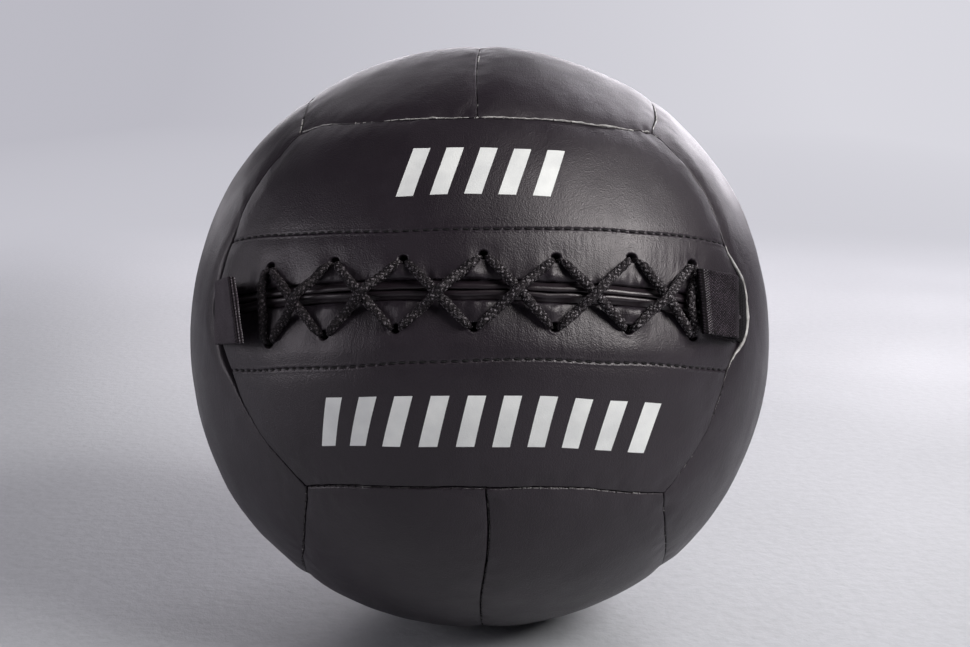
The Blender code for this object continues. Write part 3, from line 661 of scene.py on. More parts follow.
def webbing_material(name, gain, gloss, speck, painted_shade_lines=(), painted_shade_until=-9):
    """Close twill webbing: fine columns up the strap, each stepped, with pale specks on the raised yarns.
    Painted shade darkens the weave's low parts, the strap up to a given distance round it, and given lines,
    where its fold and grooves lie in shade.

    UVs are millimetres round the strap from the middle of its fold, and up it.
    """
    n = Nodes(name)
    across, up = n.uv_parts()
    where = n.object_space()
    stagger = n.plus(n.times(across, 0.55), n.times(n.noise(where, 330, 2), 2.2))
    weave = n.plus(n.wave(across, COLUMN_PITCH), n.wave(n.plus(up, stagger), STEP_PITCH))
    height = n.mapped(n.times(weave, 0.5), -1, 1)
    fuzz = n.noise(where, 1500, 2, 0.7)
    patches = n.mapped(n.noise(where, 70, 2), 0.35, 0.65, 0.8, 1.0)
    paler_share = n.times(n.times(n.mapped(height, 0.15, 0.80), fuzz), patches)
    # Painted shade: the weave's low parts are darker.
    color = n.mix(height, WEBBING_LOW * gain, WEBBING_HIGH * gain)
    color = n.mix(n.mapped(paler_share, 0.34, 0.50), color, speck)
    # Painted shade over the fold and along the given lines.
    shade = n.mapped(across, painted_shade_until - 0.35, painted_shade_until + 0.35, 0.62, 0.0)
    for line in painted_shade_lines:
        off = n.size_of(n.math("SUBTRACT", across, line))
        shade = n.math("MAXIMUM", shade, n.mapped(off, 0.12, 0.40, 0.95, 0.0))
    color = n.mix(shade, color, WEBBING_SHADE)
    normal = n.bump(fuzz, 0.00010, 0.5, n.bump(height, 0.00028, 0.8))
    n.set(Base_Color=color, Roughness=0.75, Normal=normal)
    return n.set(Specular_IOR_Level=gloss, Specular_Tint=WEBBING_TINT)


def thread_material(name, dark, light, scale=900, roughness=0.55):
    n = Nodes(name)
    where = n.object_space()
    color = n.mix(n.mapped(n.noise(where, scale, 2), 0.35, 0.65), dark, light)
    normal = n.bump(n.noise(where, FINE_SCALE, 2), 0.00014, 0.8)
    return n.set(Base_Color=color, Roughness=roughness, Normal=normal, Specular_IOR_Level=0.4)


def ink_material():
    n = Nodes("printed_ink")
    where = n.object_space()
    color = n.mix(n.mapped(n.noise(where, 60, 3), 0.35, 0.65), (0.72, 0.73, 0.73), (0.84, 0.85, 0.84))
    gloss = n.mapped(n.noise(where, 240, 3), 0.3, 0.7, 0.45, 0.6)
    normal = n.bump(n.cells(where, GRAIN_SCALE), 0.00008, 0.6)
    return n.set(Base_Color=color, Roughness=gloss, Normal=normal, Specular_IOR_Level=0.4)


def plain_fibre(name, dark, light, scale, roughness):
    """Foam, fill, canvas and the like, which lie inside."""
    n = Nodes(name)
    where = n.object_space()
    color = n.mix(n.noise(where, scale, 5, 0.65), dark, light)
    normal = n.bump(n.noise(where, scale * 3, 3), 0.0008, 0.7)
    return n.set(Base_Color=color, Roughness=roughness, Normal=normal)


LEATHER_DARK, LEATHER_LIGHT = (0.0153, 0.0112, 0.0160), (0.0223, 0.0167, 0.0232)
LEATHER = leather_material("black_leather_grain", LEATHER_DARK, LEATHER_LIGHT, 0.405, 0.04, 0.8)
LIP_DARK, LIP_LIGHT = (0.017, 0.012, 0.0155), (0.020, 0.0145, 0.019)
LIP_LEATHER = leather_material("lip_leather_grain", LIP_DARK, LIP_LIGHT, 0.34, 0.03, 0.3)
FACING_LEATHER = plain_fibre("facing_flesh_side", (0.02, 0.018, 0.02), (0.05, 0.045, 0.048), 400, 0.8)
BRAID = braid_material()
DARK_THREAD = thread_material("topstitch_thread", (0.002, 0.002, 0.002), (0.006, 0.005, 0.006), 900, 0.75)
SEAM_THREAD = thread_material("seam_thread", (0.09, 0.085, 0.085), (0.40, 0.39, 0.385))
# The pale cut edge along the seams, partly a painted highlight.
PALE_EDGE_AND_HIGHLIGHT = thread_material("cut_edge_and_painted_highlight", (0.22, 0.21, 0.205), (0.50, 0.485, 0.475), 190, 0.42)
TAB_THREAD = thread_material("tab_stitch_thread", (0.16, 0.155, 0.16), (0.46, 0.45, 0.46))
INK = ink_material()


# The leather panels.

TOPSTITCH_ZONES = ((0, 9, 0.42), (9, 20, 0.42), (20, 25, 0.6), (25, 34, 0.28), (34, 40, 0.6))

for name, strip in STRIPS.items():
    width = BALL_RADIUS * (asin(strip.outer) - asin(strip.inner))
    length = 2 * BALL_RADIUS * acos(strip.end)
    if strip.at_slit:
        across_lines = graded(width, 1.3, TOPSTITCH_ZONES)
        along_lines = graded(length, 0.58)
    else:
        across_lines = graded(width, 1.7)
        along_lines = graded(length, 1.7)
    along_share, across_share = np.meshgrid(along_lines * 2 - 1, across_lines, indexing="ij")
    side = strip.inner + (strip.outer - strip.inner) * across_share
    if strip.at_slit:
        scallop = line_waves(along_share * length / 2, 6.5, 51 + int(strip.across[2]))
        side = side + scallop * 0.30 / BALL_RADIUS * np.exp(-across_share * width / 2.2)
    d = strip.direction(along_share, side)
    height = strip.height(d)
    rows, columns = [[0, *range(count), -1] for count in height.shape]
    d, height = d[rows][:, columns], height[rows][:, columns]
    height[[0, -1]] -= SKIRT
    height[1:-1, [0, -1]] -= SKIRT
    turned_over = np.dot(np.cross(strip.along, strip.across), strip.facing) < 0
    leather = mesh_from_grid(f"leather_{name}", laid(d, height), flip=turned_over)
    finished(leather, LEATHER, nodes=(name,))


def with_ends(rings, middles):
    """Closes a tube by drawing each end ring together at its middle."""
    sides = rings.shape[1]
    return np.concatenate([np.repeat(middles[:1], sides, 1), rings, np.repeat(middles[-1:], sides, 1)])


def arc_lengths(centres):
    return np.concatenate([[0], np.cumsum(np.linalg.norm(np.diff(centres, axis=0), axis=1))])


def swept(name, centres, outward, section, uv=False):
    """A closed tube along centre points. section is (outwards, sideways) per point and side."""
    tangents = np.gradient(centres, axis=0)
    tangents /= np.linalg.norm(tangents, axis=1, keepdims=True)
    normals = np.empty_like(centres)
    for i, (tangent, wanted) in enumerate(zip(tangents, outward)):
        wanted = wanted - tangent * (wanted @ tangent)
        size = np.linalg.norm(wanted)
        if i == 0:
            normals[i] = wanted / size
            continue
        normals[i] = normals[i - 1] - tangent * (normals[i - 1] @ tangent)
        if size > 0.5:
            normals[i] = normals[i] / np.linalg.norm(normals[i]) + wanted / size * 0.25
        normals[i] /= np.linalg.norm(normals[i])
    sideways = np.cross(tangents, normals)
    points = centres[:, None] + normals[:, None] * section[..., :1] + sideways[:, None] * section[..., 1:]
    sides = section.shape[1]
    points = with_ends(points, centres[:, None])
    maps = None
    if uv:
        arc = arc_lengths(centres)[[0, *range(len(centres)), -1]]
        maps = np.stack(np.broadcast_arrays(np.arange(sides)[None] / sides, arc[:, None]), -1)
    return mesh_from_grid(name, points, wrap=True, uv=maps, flip=True)


def round_section(radius, sides):
    """A round section from radii per point, or per point and side."""
    turns = np.arange(sides) * 2 * pi / sides
    radius = np.broadcast_to(radius.reshape(len(radius), -1), (len(radius), sides))
    return np.stack([radius * np.cos(turns), radius * np.sin(turns)], -1)


def through_points(values, spacing, step):
    """Rows of values read from one smooth curve through the given rows, with the given spans between them."""
    slopes = np.empty_like(values)
    chords = np.diff(values, axis=0) / spacing[:, None]
    slopes[0], slopes[-1] = chords[0], chords[-1]
    before, after = spacing[:-1, None], spacing[1:, None]
    slopes[1:-1] = (chords[:-1] * after + chords[1:] * before) / (before + after)
    out = []
    for i, span in enumerate(spacing):
        count = max(1, round(span / step))
        t = (np.arange(count) / count)[:, None]
        out.append(
            (2 * t**3 - 3 * t**2 + 1) * values[i]
            + (t**3 - 2 * t**2 + t) * span * slopes[i]
            + (3 * t**2 - 2 * t**3) * values[i + 1]
            + (t**3 - t**2) * span * slopes[i + 1]
        )
    out.append(values[-1:])
    return np.concatenate(out)


# The rolled lips of the slit, from a section that is (out from the opening, up) round the roll.

LIP_PROFILE = pairs(
    (0.05, 0.02, 0.10, 0.42, 0.95, 1.60, 2.20, 2.70, 3.10, 3.60, 4.30, 4.80, 4.95, 4.6, 2.5, 0.6),
    (-2.6, -1.0, -0.35, 0.12, 0.36, 0.38, 0.24, -0.08, -0.52, -0.95, -1.40, -1.85, -2.4, -3.1, -3.4, -3.2),
)
LIP_STEP = 0.32
LIP_STATIONS = 640
LIP_END_ARC = 160.5
LIP_END_DIP = 1.9
LIP_END_RUN = 11.0
LEFT_END_DIP = 2.4
LEFT_END_PLACE = -0.70 * BALL_RADIUS
LEFT_END_REACH = 12.0
LACE_PRESS = 0.55
LACE_PRESS_REACH = 4.5
LIP_SWAY = 0.15
LIP_HEAVE = 0.12
LIP_GRAIN = 0.07
loop = np.concatenate([LIP_PROFILE, LIP_PROFILE[:1]])
loop = through_points(loop, np.linalg.norm(np.diff(loop, axis=0), axis=1), LIP_STEP)[:-1]

for label, way in (("upper", 1), ("lower", -1)):
    along = np.linspace(-LIP_END_ARC, LIP_END_ARC, LIP_STATIONS)[:, None]
    x = BALL_RADIUS * np.sin(along / BALL_RADIUS)
    dip = LIP_END_DIP * np.clip(1 - (LIP_END_ARC - np.abs(along)) / LIP_END_RUN, 0, 1) ** 2
    press = LACE_PRESS * sum(bump(x - crossing, LACE_PRESS_REACH) for crossing in CROSSINGS)
    across = LIP_GAP / 2 + loop[None, :, 0] + LIP_SWAY * line_waves(along, 24, 61 + way)
    rise = loop[None, :, 1] + LIP_HEAVE * line_waves(along, 30, 64 + way) - dip - press
    rise = rise - LEFT_END_DIP * bump(x - LEFT_END_PLACE, LEFT_END_REACH)
    grid = np.stack(np.broadcast_arrays(along, 2 * loop[None, :, 0], 2 * loop[None, :, 1]), -1)
    rise = rise + LIP_GRAIN * waves(grid * (1, 0.4, 0.4), 12, 66 + way)
    points = laid(front_direction(x + 0 * across, way * across), rise)
    points = with_ends(points, points.mean(1, keepdims=True))
    lip = mesh_from_grid(f"{label}_lip", points, wrap=True, flip=way < 0)
    finished(lip, LIP_LEATHER, nodes=(f"{label}_lip_piping",))


# The lace, on the same route as its solid.

LACE_RADIUS = 2.4
SQUEEZE = 0.55
EXIT_SQUEEZE = 0.80
PASS_OFFSET = 1.5
UPPER_PASS_SHIFT = 1.1
LOWER_PASS_SHIFT = 0.6
END_PASS_SHIFT = 1.2
END_SWAY = -4.0
PASS_DEPTH = 2.6
EXIT_REACH = 2.8
EXIT_RISE = 1.9
INNER_TURN = 1.4
INNER_TURN_RISE = 0.6
INNER_HOLD = 6.0
LACE_END_REACH = 9.0
LACE_REST = 2.9
LACE_UNDER = 3.6
LACE_PRESSED = 0.9
LACE_OVER = LACE_UNDER + 2 * LACE_RADIUS - LACE_PRESSED
INNER_NEAR = -8.4
INNER_FAR = -11.5
LACE_STEP = 0.45
LACE_SIDES = 28
YARN_RISE = 0.30
YARN_SINK = 0.16


class LaceRoute:
    """Collects the lace's key points as (across, up, height over the skin, share of the radius)."""

    def __init__(self):
        self.keys = []

    def through(self, hole):
        self.keys.append((*hole, -PASS_DEPTH, SQUEEZE))

    def outside(self, start, end, middle_height, sway=0.0):
        start, end = np.array(start), np.array(end)
        reach = (end - start) / np.linalg.norm(end - start) * EXIT_REACH
        middle = start + (end - start) * (start[1] / (start[1] - end[1])) + (sway, 0)
        rests = [(*((hole + middle) / 2), LACE_REST, 1) for hole in (start, end)]
        exits = [(*place, EXIT_RISE, EXIT_SQUEEZE) for place in (start + reach, end - reach)]
        self.keys += [exits[0], rests[0], (*middle, middle_height, 1), rests[1], exits[1]]

    def inner_end(self, hole, way, height):
        across, up = hole
        return (
            (across, up + way * INNER_TURN, INNER_NEAR + INNER_TURN_RISE, SQUEEZE),
            (across, up + way * INNER_HOLD, height, SQUEEZE),
        )

    def inside(self, start, end, height):
        way = 1 if end[1] > start[1] else -1
        self.keys.extend(self.inner_end(start, way, height))
        self.keys.append(((start[0] + end[0]) / 2, (start[1] + end[1]) / 2, height, SQUEEZE))
        self.keys.extend(reversed(self.inner_end(end, -way, height)))


def passes_in(holes, shift):
    """Where the two strands pass through each hole of a row, left and right of its middle."""
    return [[(x + way * PASS_OFFSET, u - shift) for x, u in holes * BALL_RADIUS] for way in (-1, 1)]


def lace_route():
    upper_left, upper_right = passes_in(UPPER_HOLES, UPPER_PASS_SHIFT)
    lower_left, lower_right = passes_in(LOWER_HOLES, LOWER_PASS_SHIFT)
    last = len(UPPER_HOLES) - 1
    for passes in (upper_right, lower_right):
        passes[last] = (passes[last][0] - END_PASS_SHIFT, passes[last][1])
    route = LaceRoute()
    across, up = upper_right[last]
    route.keys.append((across, up - LACE_END_REACH, INNER_NEAR, SQUEEZE))
    route.keys.append(route.inner_end(upper_right[last], -1, INNER_NEAR)[0])
    route.through(upper_right[last])
    route.outside(upper_right[last], lower_right[last], LACE_UNDER, END_SWAY)
    route.through(lower_right[last])
    route.inside(lower_right[last], upper_left[last], INNER_FAR)
    route.through(upper_left[last])
    for k in range(last - 1, -1, -1):
        route.outside(upper_left[k + 1], lower_right[k], LACE_OVER)
        route.through(lower_right[k])
        route.inside(lower_right[k], upper_left[k], INNER_NEAR)
        route.through(upper_left[k])
    route.outside(upper_left[0], lower_left[0], LACE_UNDER)
    route.through(lower_left[0])
    for k in range(last):
        route.inside(lower_left[k], upper_right[k], INNER_FAR)
        route.through(upper_right[k])
        route.outside(upper_right[k], lower_left[k + 1], LACE_UNDER)
        route.through(lower_left[k + 1])
    route.keys.append(route.inner_end(lower_left[last], 1, INNER_NEAR)[0])
    across, up = lower_left[last]
    route.keys.append((across, up + LACE_END_REACH, INNER_NEAR, SQUEEZE))
    return np.array(route.keys)


keys = lace_route()
key_points = laid(front_direction(keys[:, 0], keys[:, 1]), keys[:, 2])
key_rows = np.concatenate([key_points, keys[:, 3:]], 1)
key_spans = np.linalg.norm(np.diff(key_points, axis=0), axis=1)
lace_line = through_points(key_rows, key_spans, LACE_STEP)
centres, shares = lace_line[:, :3], lace_line[:, 3]
arc = arc_lengths(centres)[:, None]
turns = np.arange(LACE_SIDES) / LACE_SIDES
one, two = arc / BRAID_PITCH + BRAID_YARNS * turns, arc / BRAID_PITCH - BRAID_YARNS * turns
over = (np.floor(one) + np.floor(two)) % 2
weave = np.where(over > 0.5, np.abs(np.sin(pi * one)), np.abs(np.sin(pi * two)))
ring = np.stack(np.broadcast_arrays(arc, 9 * np.cos(2 * pi * turns), 9 * np.sin(2 * pi * turns)), -1)
lumps = 0.10 * waves(ring, 2.4, 71) + 0.08 * waves(ring * (1, 0.3, 0.3), 7, 72)
loose = np.clip(shares[:, None] * 2 - 1, 0.2, 1)
radius = LACE_RADIUS * shares[:, None] - YARN_SINK + YARN_RISE * weave * loose + lumps
lace = swept("braided_lace", centres, outward_at(centres), round_section(radius, LACE_SIDES), uv=True)
finished(lace, BRAID, nodes=("lace",))


# Stitches.


def capsules(name, strokes, sides=8, steps=7):
    """Many short rounded threads in one mesh. Each is (start, end, outwards, sag, radius)."""
    made = bmesh.new()
    for start, end, outward, sag, radius in strokes:
        way = end - start
        length = np.linalg.norm(way)
        way = way / length
        sideways = np.cross(way, outward)
        rings = []
        for i in range(steps):
            t = i / (steps - 1)
            swell = sqrt(max(0.02, 1 - (2 * t - 1) ** 4)) * radius
            middle = start + way * length * t + outward * sag * (1 - (2 * t - 1) ** 2)
            ring = []
            for turn in [2 * pi * j / sides for j in range(sides)]:
                point = middle + (outward * cos(turn) + sideways * sin(turn)) * swell
                ring.append(made.verts.new(point * MM))
            rings.append(ring)
        made.faces.new(rings[0])
        made.faces.new(reversed(rings[-1]))
        for near_ring, far_ring in zip(rings, rings[1:]):
            for j in range(sides):
                k = (j + 1) % sides
                made.faces.new((near_ring[k], near_ring[j], far_ring[j], far_ring[k]))
    bmesh.ops.recalc_face_normals(made, faces=made.faces)
    return from_bmesh(name, made)


STITCHES_EACH_WAY = 28
STITCH_HALF_LENGTH = 1.75
STITCH_SLANT = 0.20
STITCH_LIFT = 0.10
STITCH_SAG = 0.16
STITCH_RADIUS = 0.36

for label, row in (("upper", UPPER_ROW), ("lower", LOWER_ROW)):
    strip = STRIPS[f"front_{label}_panel"]
    rng = np.random.default_rng(81)
    strokes = []
    for i in range(-STITCHES_EACH_WAY, STITCHES_EACH_WAY + 1):
        ends = []
        for way in (-1, 1):
            x = np.array(BALL_RADIUS * sin((i * STITCH_PERIOD + way * STITCH_HALF_LENGTH) / BALL_RADIUS))
            ends.append(front_direction(x, row_height(row, x) - way * STITCH_SLANT + rng.normal() * 0.06))
        ends = np.stack(ends)
        start, end = laid(ends, strip.height(ends) + STITCH_LIFT)
        radius = STITCH_RADIUS * (1 + rng.normal() * 0.06)
        strokes.append((start, end, outward_at((start + end) / 2), STITCH_SAG, radius))
    finished(capsules(f"{label}_topstitch", strokes), DARK_THREAD)


def seam_lines():
    """Every seam as (strip, side, half length of arc): its line is the strip's outer or inner edge."""
    for name, strip in STRIPS.items():
        band = sqrt(1 - strip.outer**2)
        yield name, strip, strip.seam, BALL_RADIUS * band * acos(strip.end / band)
        if not strip.at_slit and strip.across.sum() > 0:
            yield name, strip, 0.0, BALL_RADIUS * acos(strip.end)


def beside_seam(strip, seam_side, arc, off):
    """The direction of a place at an arc length along a seam and a distance off it, away from the strip."""
    side = seam_side + off / BALL_RADIUS * sqrt(1 - seam_side**2)
    return strip.at_angle(arc / (BALL_RADIUS * sqrt(1 - seam_side**2)), side)


# The drawn-out seam beside the right tab, and the two pale ribbons along it, where the pale edge is widened
# into a painted highlight: (amount, place, reach).
RIGHT_TAB_SEAM = (0.78, -0.62, 0.02)
RIGHT_TAB_SEAM_REACH = 0.22
RIBBONS = ((1.6, (0.78, -0.62, 0.09), 0.12), (1.6, (0.78, -0.62, -0.06), 0.11))


EDGE_NOISE = ((0.20, 0.10, 91), (0.14, 0.035, 92))


def edge_and_highlight_share(d):
    """How much of the leather's pale cut edge shows: most at the top, the right and the right tab. It is
    partly a painted highlight, shown where the light falls and shrunk at the left, low down and at the back,
    where the seams lie in shade.
    """
    x, y, z = d[..., 0], d[..., 1], d[..., 2]
    share = 0.30 + 0.45 * ramp(x, -0.45, 0.45) + 0.35 * ramp(z, 0.45, 0.55) * on_front(d)
    share = share + layers(d, EDGE_NOISE) - 0.5 * ramp(z, -0.52, -0.56) * ramp(-x, -0.15, 0.0)
    low_right = ramp(-z, 0.10, 0.17) * (1 - ramp(-z, 0.42, 0.50)) * ramp(x, 0.4, 0.5)
    fades = (1 - 0.85 * low_right) * (1 - 0.55 * ramp(-z, 0.45, 0.52) * on_front(d))
    behind = 1 - 0.45 * ramp(y, -0.3, 0.2)
    return (np.clip(share, 0.12, 1.5) * behind + all_near(d, RIBBONS)) * fades


EDGE_RADIUS = 0.40
EDGE_STEP = 0.7
EDGE_OFF = 0.35
EDGE_END = 1.5
EDGE_SINK = 0.52
EDGE_RISE = 0.24
STITCH_END = 4
THREAD_LEAST_HEIGHT = 14.0
THREAD_SAG = 0.10
TOWARD_STRIP = ("right_front_panel", "left_front_panel", "right_rear_panel", "left_rear_panel")
strokes, shaded_strokes = [], []
rng = np.random.default_rng(82)
for name, strip, seam_side, half in seam_lines():
    if name == "left_front_panel" and seam_side:
        continue
    way = -1 if name in TOWARD_STRIP else 1
    along = np.arange(-half + EDGE_END, half - EDGE_END, EDGE_STEP)
    share = edge_and_highlight_share(beside_seam(strip, seam_side, along, 0 * along))
    off = way * (EDGE_OFF + 0.28 * share + 0.5 * np.clip(share - 1, 0, 2)) + 0.10 * line_waves(along, 6, 93)
    d = beside_seam(strip, seam_side, along, off)
    centres = laid(d, -SEAM_DIP - EDGE_SINK + EDGE_RISE * share + 0.06 * line_waves(along, 5, 94))
    label = "edge" if seam_side else "middle_edge"
    # Painted highlight: the pale edge is thicker where more light falls on the seam.
    tube = swept(f"{name}_{label}", centres, outward_at(centres), round_section(EDGE_RADIUS * share, 8))
    finished(tube, PALE_EDGE_AND_HIGHLIGHT)
    for place in np.arange(-half + STITCH_END, half - STITCH_END, STITCH_PERIOD):
        place = place + rng.normal() * 0.3
        middle = beside_seam(strip, seam_side, np.array(place), np.array(0.0))
        shows = edge_and_highlight_share(middle)
        lean = rng.normal() * 0.25
        span = rng.uniform(0.5, 0.9)
        off = np.array((-0.35 * span, 1.15 * span)) * way
        ends = beside_seam(strip, seam_side, np.array((place - lean, place + lean)), off)
        start, end = laid(ends, np.array((-SEAM_DIP - 0.30, -SEAM_DIP + 0.02)))
        beside_tab = near(middle, RIGHT_TAB_SEAM, RIGHT_TAB_SEAM_REACH) > 0.37
        if min(start[2], end[2]) < THREAD_LEAST_HEIGHT or beside_tab:
            continue
        stroke = (start, end, outward_at((start + end) / 2), THREAD_SAG, rng.uniform(0.20, 0.30))
        # Painted light and shade: each stitch takes the pale thread where the pale edge shows and the dark
        # thread elsewhere, lit and shaded copies of one thread.
        (strokes if rng.uniform() < shows * 0.8 else shaded_strokes).append(stroke)
finished(capsules("seam_stitches", strokes, sides=6, steps=5), SEAM_THREAD)
finished(capsules("seam_stitches_painted_shade", shaded_strokes, sides=6, steps=5), DARK_THREAD)


# Plain printed marks: two rows of slanted bars.


def quad_patch(corners, strip, lift=0.10, step=1.2):
    """A printed quadrilateral on the leather, from four (across, up) corners in order round it."""
    a, b, c, d = [np.array(corner, float) for corner in corners]
    rows = max(2, int(np.linalg.norm(d - a) / step) + 1)
    columns = max(2, int(np.linalg.norm(b - a) / step) + 1)
    t = np.linspace(0, 1, rows)[:, None, None]
    s = np.linspace(0, 1, columns)[None, :, None]
    flat = (a * (1 - s) + b * s) * (1 - t) + (d * (1 - s) + c * s) * t
    directions = front_direction(flat[..., 0], flat[..., 1])
    return laid(directions, strip.height(directions) + lift)


BAR_THICKNESS = 9.0
BAR_LEAN = 8.0


def bar_row(name, strip, left, right, low, high, count):
    """Bars side by side between two places across and two heights."""
    made = bmesh.new()
    for i in range(count):
        middle = left + (right - left) * (i + 0.5) / count
        foot, head = middle - BAR_LEAN / 2, middle + BAR_LEAN / 2
        corners = (
            (foot - BAR_THICKNESS / 2, low),
            (foot + BAR_THICKNESS / 2, low),
            (head + BAR_THICKNESS / 2, high),
            (head - BAR_THICKNESS / 2, high),
        )
        verts = [[made.verts.new(point * MM) for point in row] for row in quad_patch(corners, strip)]
        for near_row, far_row in zip(verts, verts[1:]):
            for j in range(len(near_row) - 1):
                made.faces.new((near_row[j], near_row[j + 1], far_row[j + 1], far_row[j]))
    return finished(from_bmesh(name, made), INK)


bar_row("upper_bar_mark", STRIPS["front_upper_panel"], left=-42, right=46, low=50, high=77, count=5)
bar_row("lower_bar_mark", STRIPS["front_lower_panel"], left=-85, right=95, low=-76.5, high=-52, count=10)


# The pull tabs: webbing folded over at the free end.

TAB_LENGTH = 43.0
TAB_WIDTH = 34.5
WEBBING_THICKNESS = 1.7
TAB_LAYER_GAP = 0.5
TAB_RISE = 3.0
TAB_RISE_RUN = 10.0
TAB_SEAT_GAP = 0.35
CAD_SEAM_DIP = 2.2
FOLD_RADIUS = (WEBBING_THICKNESS + TAB_LAYER_GAP) / 2
FOLD_QUARTER = FOLD_RADIUS * pi / 2
FOLD_ZONE = 4.0
STRAIGHT = TAB_LENGTH - WEBBING_THICKNESS - TAB_LAYER_GAP / 2
PRESSED_SHARE = 0.27
PRESSED_RUN = 3.0
SHEAR_RUN = 12.0
EDGE_ROUNDING = 0.85
GROOVE_DEPTH = 0.75
GROOVE_REACH = 0.27
HEIGHT_STEP = 1.1
STRAP_STEP = 1.2
FOLD_LINES = 61
SELVAGE_RISE = 0.10
SELVAGE_IN = 1.5
SELVAGE_REACH = 0.8
GROOVED_HALF = 0.8
RIPPLE = 0.16
RIPPLE_LENGTH = 14
DROP_START = 3
WELD_DISTANCE = 0.002


class Tab:
    """The frame of one tab: places are (distance from the seam, offset outwards, height)."""

    def __init__(self, side, lift_deg, centre, drop, twist, shear=0.0):
        seam = np.array((side * sqrt(1 - CUT["Y"] ** 2), -CUT["Y"], 0))
        forwards = np.array((-side * CUT["Y"], -sqrt(1 - CUT["Y"] ** 2), 0))
        out = float(skin_radius(seam)) - CAD_SEAM_DIP + TAB_SEAT_GAP + WEBBING_THICKNESS + TAB_LAYER_GAP / 2
        self.pivot = seam * out + AXIS["Z"] * centre
        lift = radians(lift_deg)
        self.along = forwards * cos(lift) + seam * sin(lift)
        self.away = seam * cos(lift) - forwards * sin(lift)
        self.centre, self.drop, self.twist, self.shear = centre, drop, twist, shear

    def place(self, station, offset, height):
        station = station + self.shear * height * ramp(station, 0, SHEAR_RUN)
        reach = station / TAB_LENGTH
        short = np.clip(1 - station / TAB_RISE_RUN, 0, 1)
        line = TAB_RISE * (1 - short * short)
        out = line + offset + height * self.twist * reach
        return to_world(
            self.pivot
            + self.along * station[..., None]
            + self.away * out[..., None]
            + AXIS["Z"] * (height - self.drop * reach)[..., None]
        )


def pressed(station):
    """The share of its thickness that the strap keeps where it is pressed together at the seam."""
    return PRESSED_SHARE + (1 - PRESSED_SHARE) * ramp(station, 0, PRESSED_RUN)


def strap_middle(s):
    """The strap's middle line by distance from the fold's middle: (station, offset, outward normal)."""
    turn = np.clip(s / FOLD_RADIUS, -pi / 2, pi / 2)
    rest = np.abs(s) - FOLD_QUARTER
    on_fold = rest < 0
    station = np.where(on_fold, STRAIGHT + FOLD_RADIUS * np.cos(turn), STRAIGHT - rest)
    spread = np.clip(rest / STRAIGHT, 0, 1) ** 1.6 * np.where(s > 0, 0.5, 0.2)
    offset = np.where(on_fold, FOLD_RADIUS * np.sin(turn), np.sign(s) * (FOLD_RADIUS + spread))
    normal = [np.where(on_fold, np.cos(turn), 0), np.where(on_fold, np.sin(turn), np.sign(s))]
    return station, offset * pressed(station), np.stack(normal, -1)


def rounded(heights):
    """The share of its thickness that the webbing has across it: both edges are rounded off."""
    edge = np.clip((np.abs(heights) - (TAB_WIDTH / 2 - EDGE_ROUNDING)) / EDGE_ROUNDING, 0, 1)
    return np.sqrt(1 - edge * edge)


HEIGHTS = (graded(TAB_WIDTH, HEIGHT_STEP) - 0.5) * TAB_WIDTH
ROOT_STEPS = 17
ROOT_MAP = (30, 42)
ROOT_START = 0.5
ROOT_RUN = 3.2
ROOT_END_STATION = -0.4
ROOT_END_OFFSET = -0.6
LEAD_SHARE = 0.65
LEAD_SINK = 0.2
ROOT_LEAST_HALF = 0.26
ROOT_MOST_HALF = 1.3
ROOT_GROWTH = 0.13


def tab_root(label, tab, sewn_height, risen_height):
    """The sewn-in end of the strap lies on the ball from the seam to the line that the tab bends about."""
    strip = STRIPS[f"{label}_front_panel"]
    ring = BALL_RADIUS * sqrt(1 - CUT["Y"] ** 2)
    arc = ring * np.arcsin((tab.centre + HEIGHTS) / ring)
    sewn = laid(beside_seam(strip, CUT["Y"], arc, 0 * arc + ROOT_START), sewn_height)
    risen = laid(beside_seam(strip, CUT["Y"], arc, 0 * arc + ROOT_RUN), risen_height)
    bends = tab.place(0 * HEIGHTS + ROOT_END_STATION, 0 * HEIGHTS + ROOT_END_OFFSET, HEIGHTS)
    leads = bends * LEAD_SHARE + risen * (1 - LEAD_SHARE) - LEAD_SINK * outward_at(bends)
    t = np.linspace(0, 1, ROOT_STEPS)[:, None, None]
    middle = (1 - t) ** 3 * sewn + 3 * (1 - t) ** 2 * t * risen + 3 * (1 - t) * t**2 * leads + t**3 * bends
    ends = np.clip(np.sin(pi * t[..., 0]) * 6, 0, 1) ** 0.5
    from_bend = np.linalg.norm(middle - bends, axis=-1)
    half = np.minimum(ROOT_LEAST_HALF + ROOT_GROWTH * from_bend, ROOT_MOST_HALF) * rounded(HEIGHTS) * ends
    out = outward_at(middle) * half[..., None]
    points = np.concatenate([middle + out, (middle - out)[:, ::-1]], 1)
    maps = np.stack(np.meshgrid(np.linspace(*ROOT_MAP, ROOT_STEPS), HEIGHTS, indexing="ij"), -1)
    maps = np.concatenate([maps, maps[:, ::-1]], 1)
    root = mesh_from_grid(f"{label}_tab_root", points, wrap=True, uv=maps)
    finished(root, ROOT_WEBBING)


def close_strap(obj, rows, columns):
    """Adds the cut ends of a strap whose grid runs up one face and down the other."""
    made = bmesh.new()
    made.from_mesh(obj.data)
    made.verts.ensure_lookup_table()
    for row in (0, rows - 1):
        for j in range(columns // 2 - 1):
            a, b = row * columns + j, row * columns + columns - 1 - j
            made.faces.new([made.verts[k] for k in (a, a + 1, b - 1, b)])
    bmesh.ops.remove_doubles(made, verts=made.verts, dist=WELD_DISTANCE * MM)
    bmesh.ops.recalc_face_normals(made, faces=made.faces)
    made.to_mesh(obj.data)
    made.free()
    obj.data.shade_smooth()


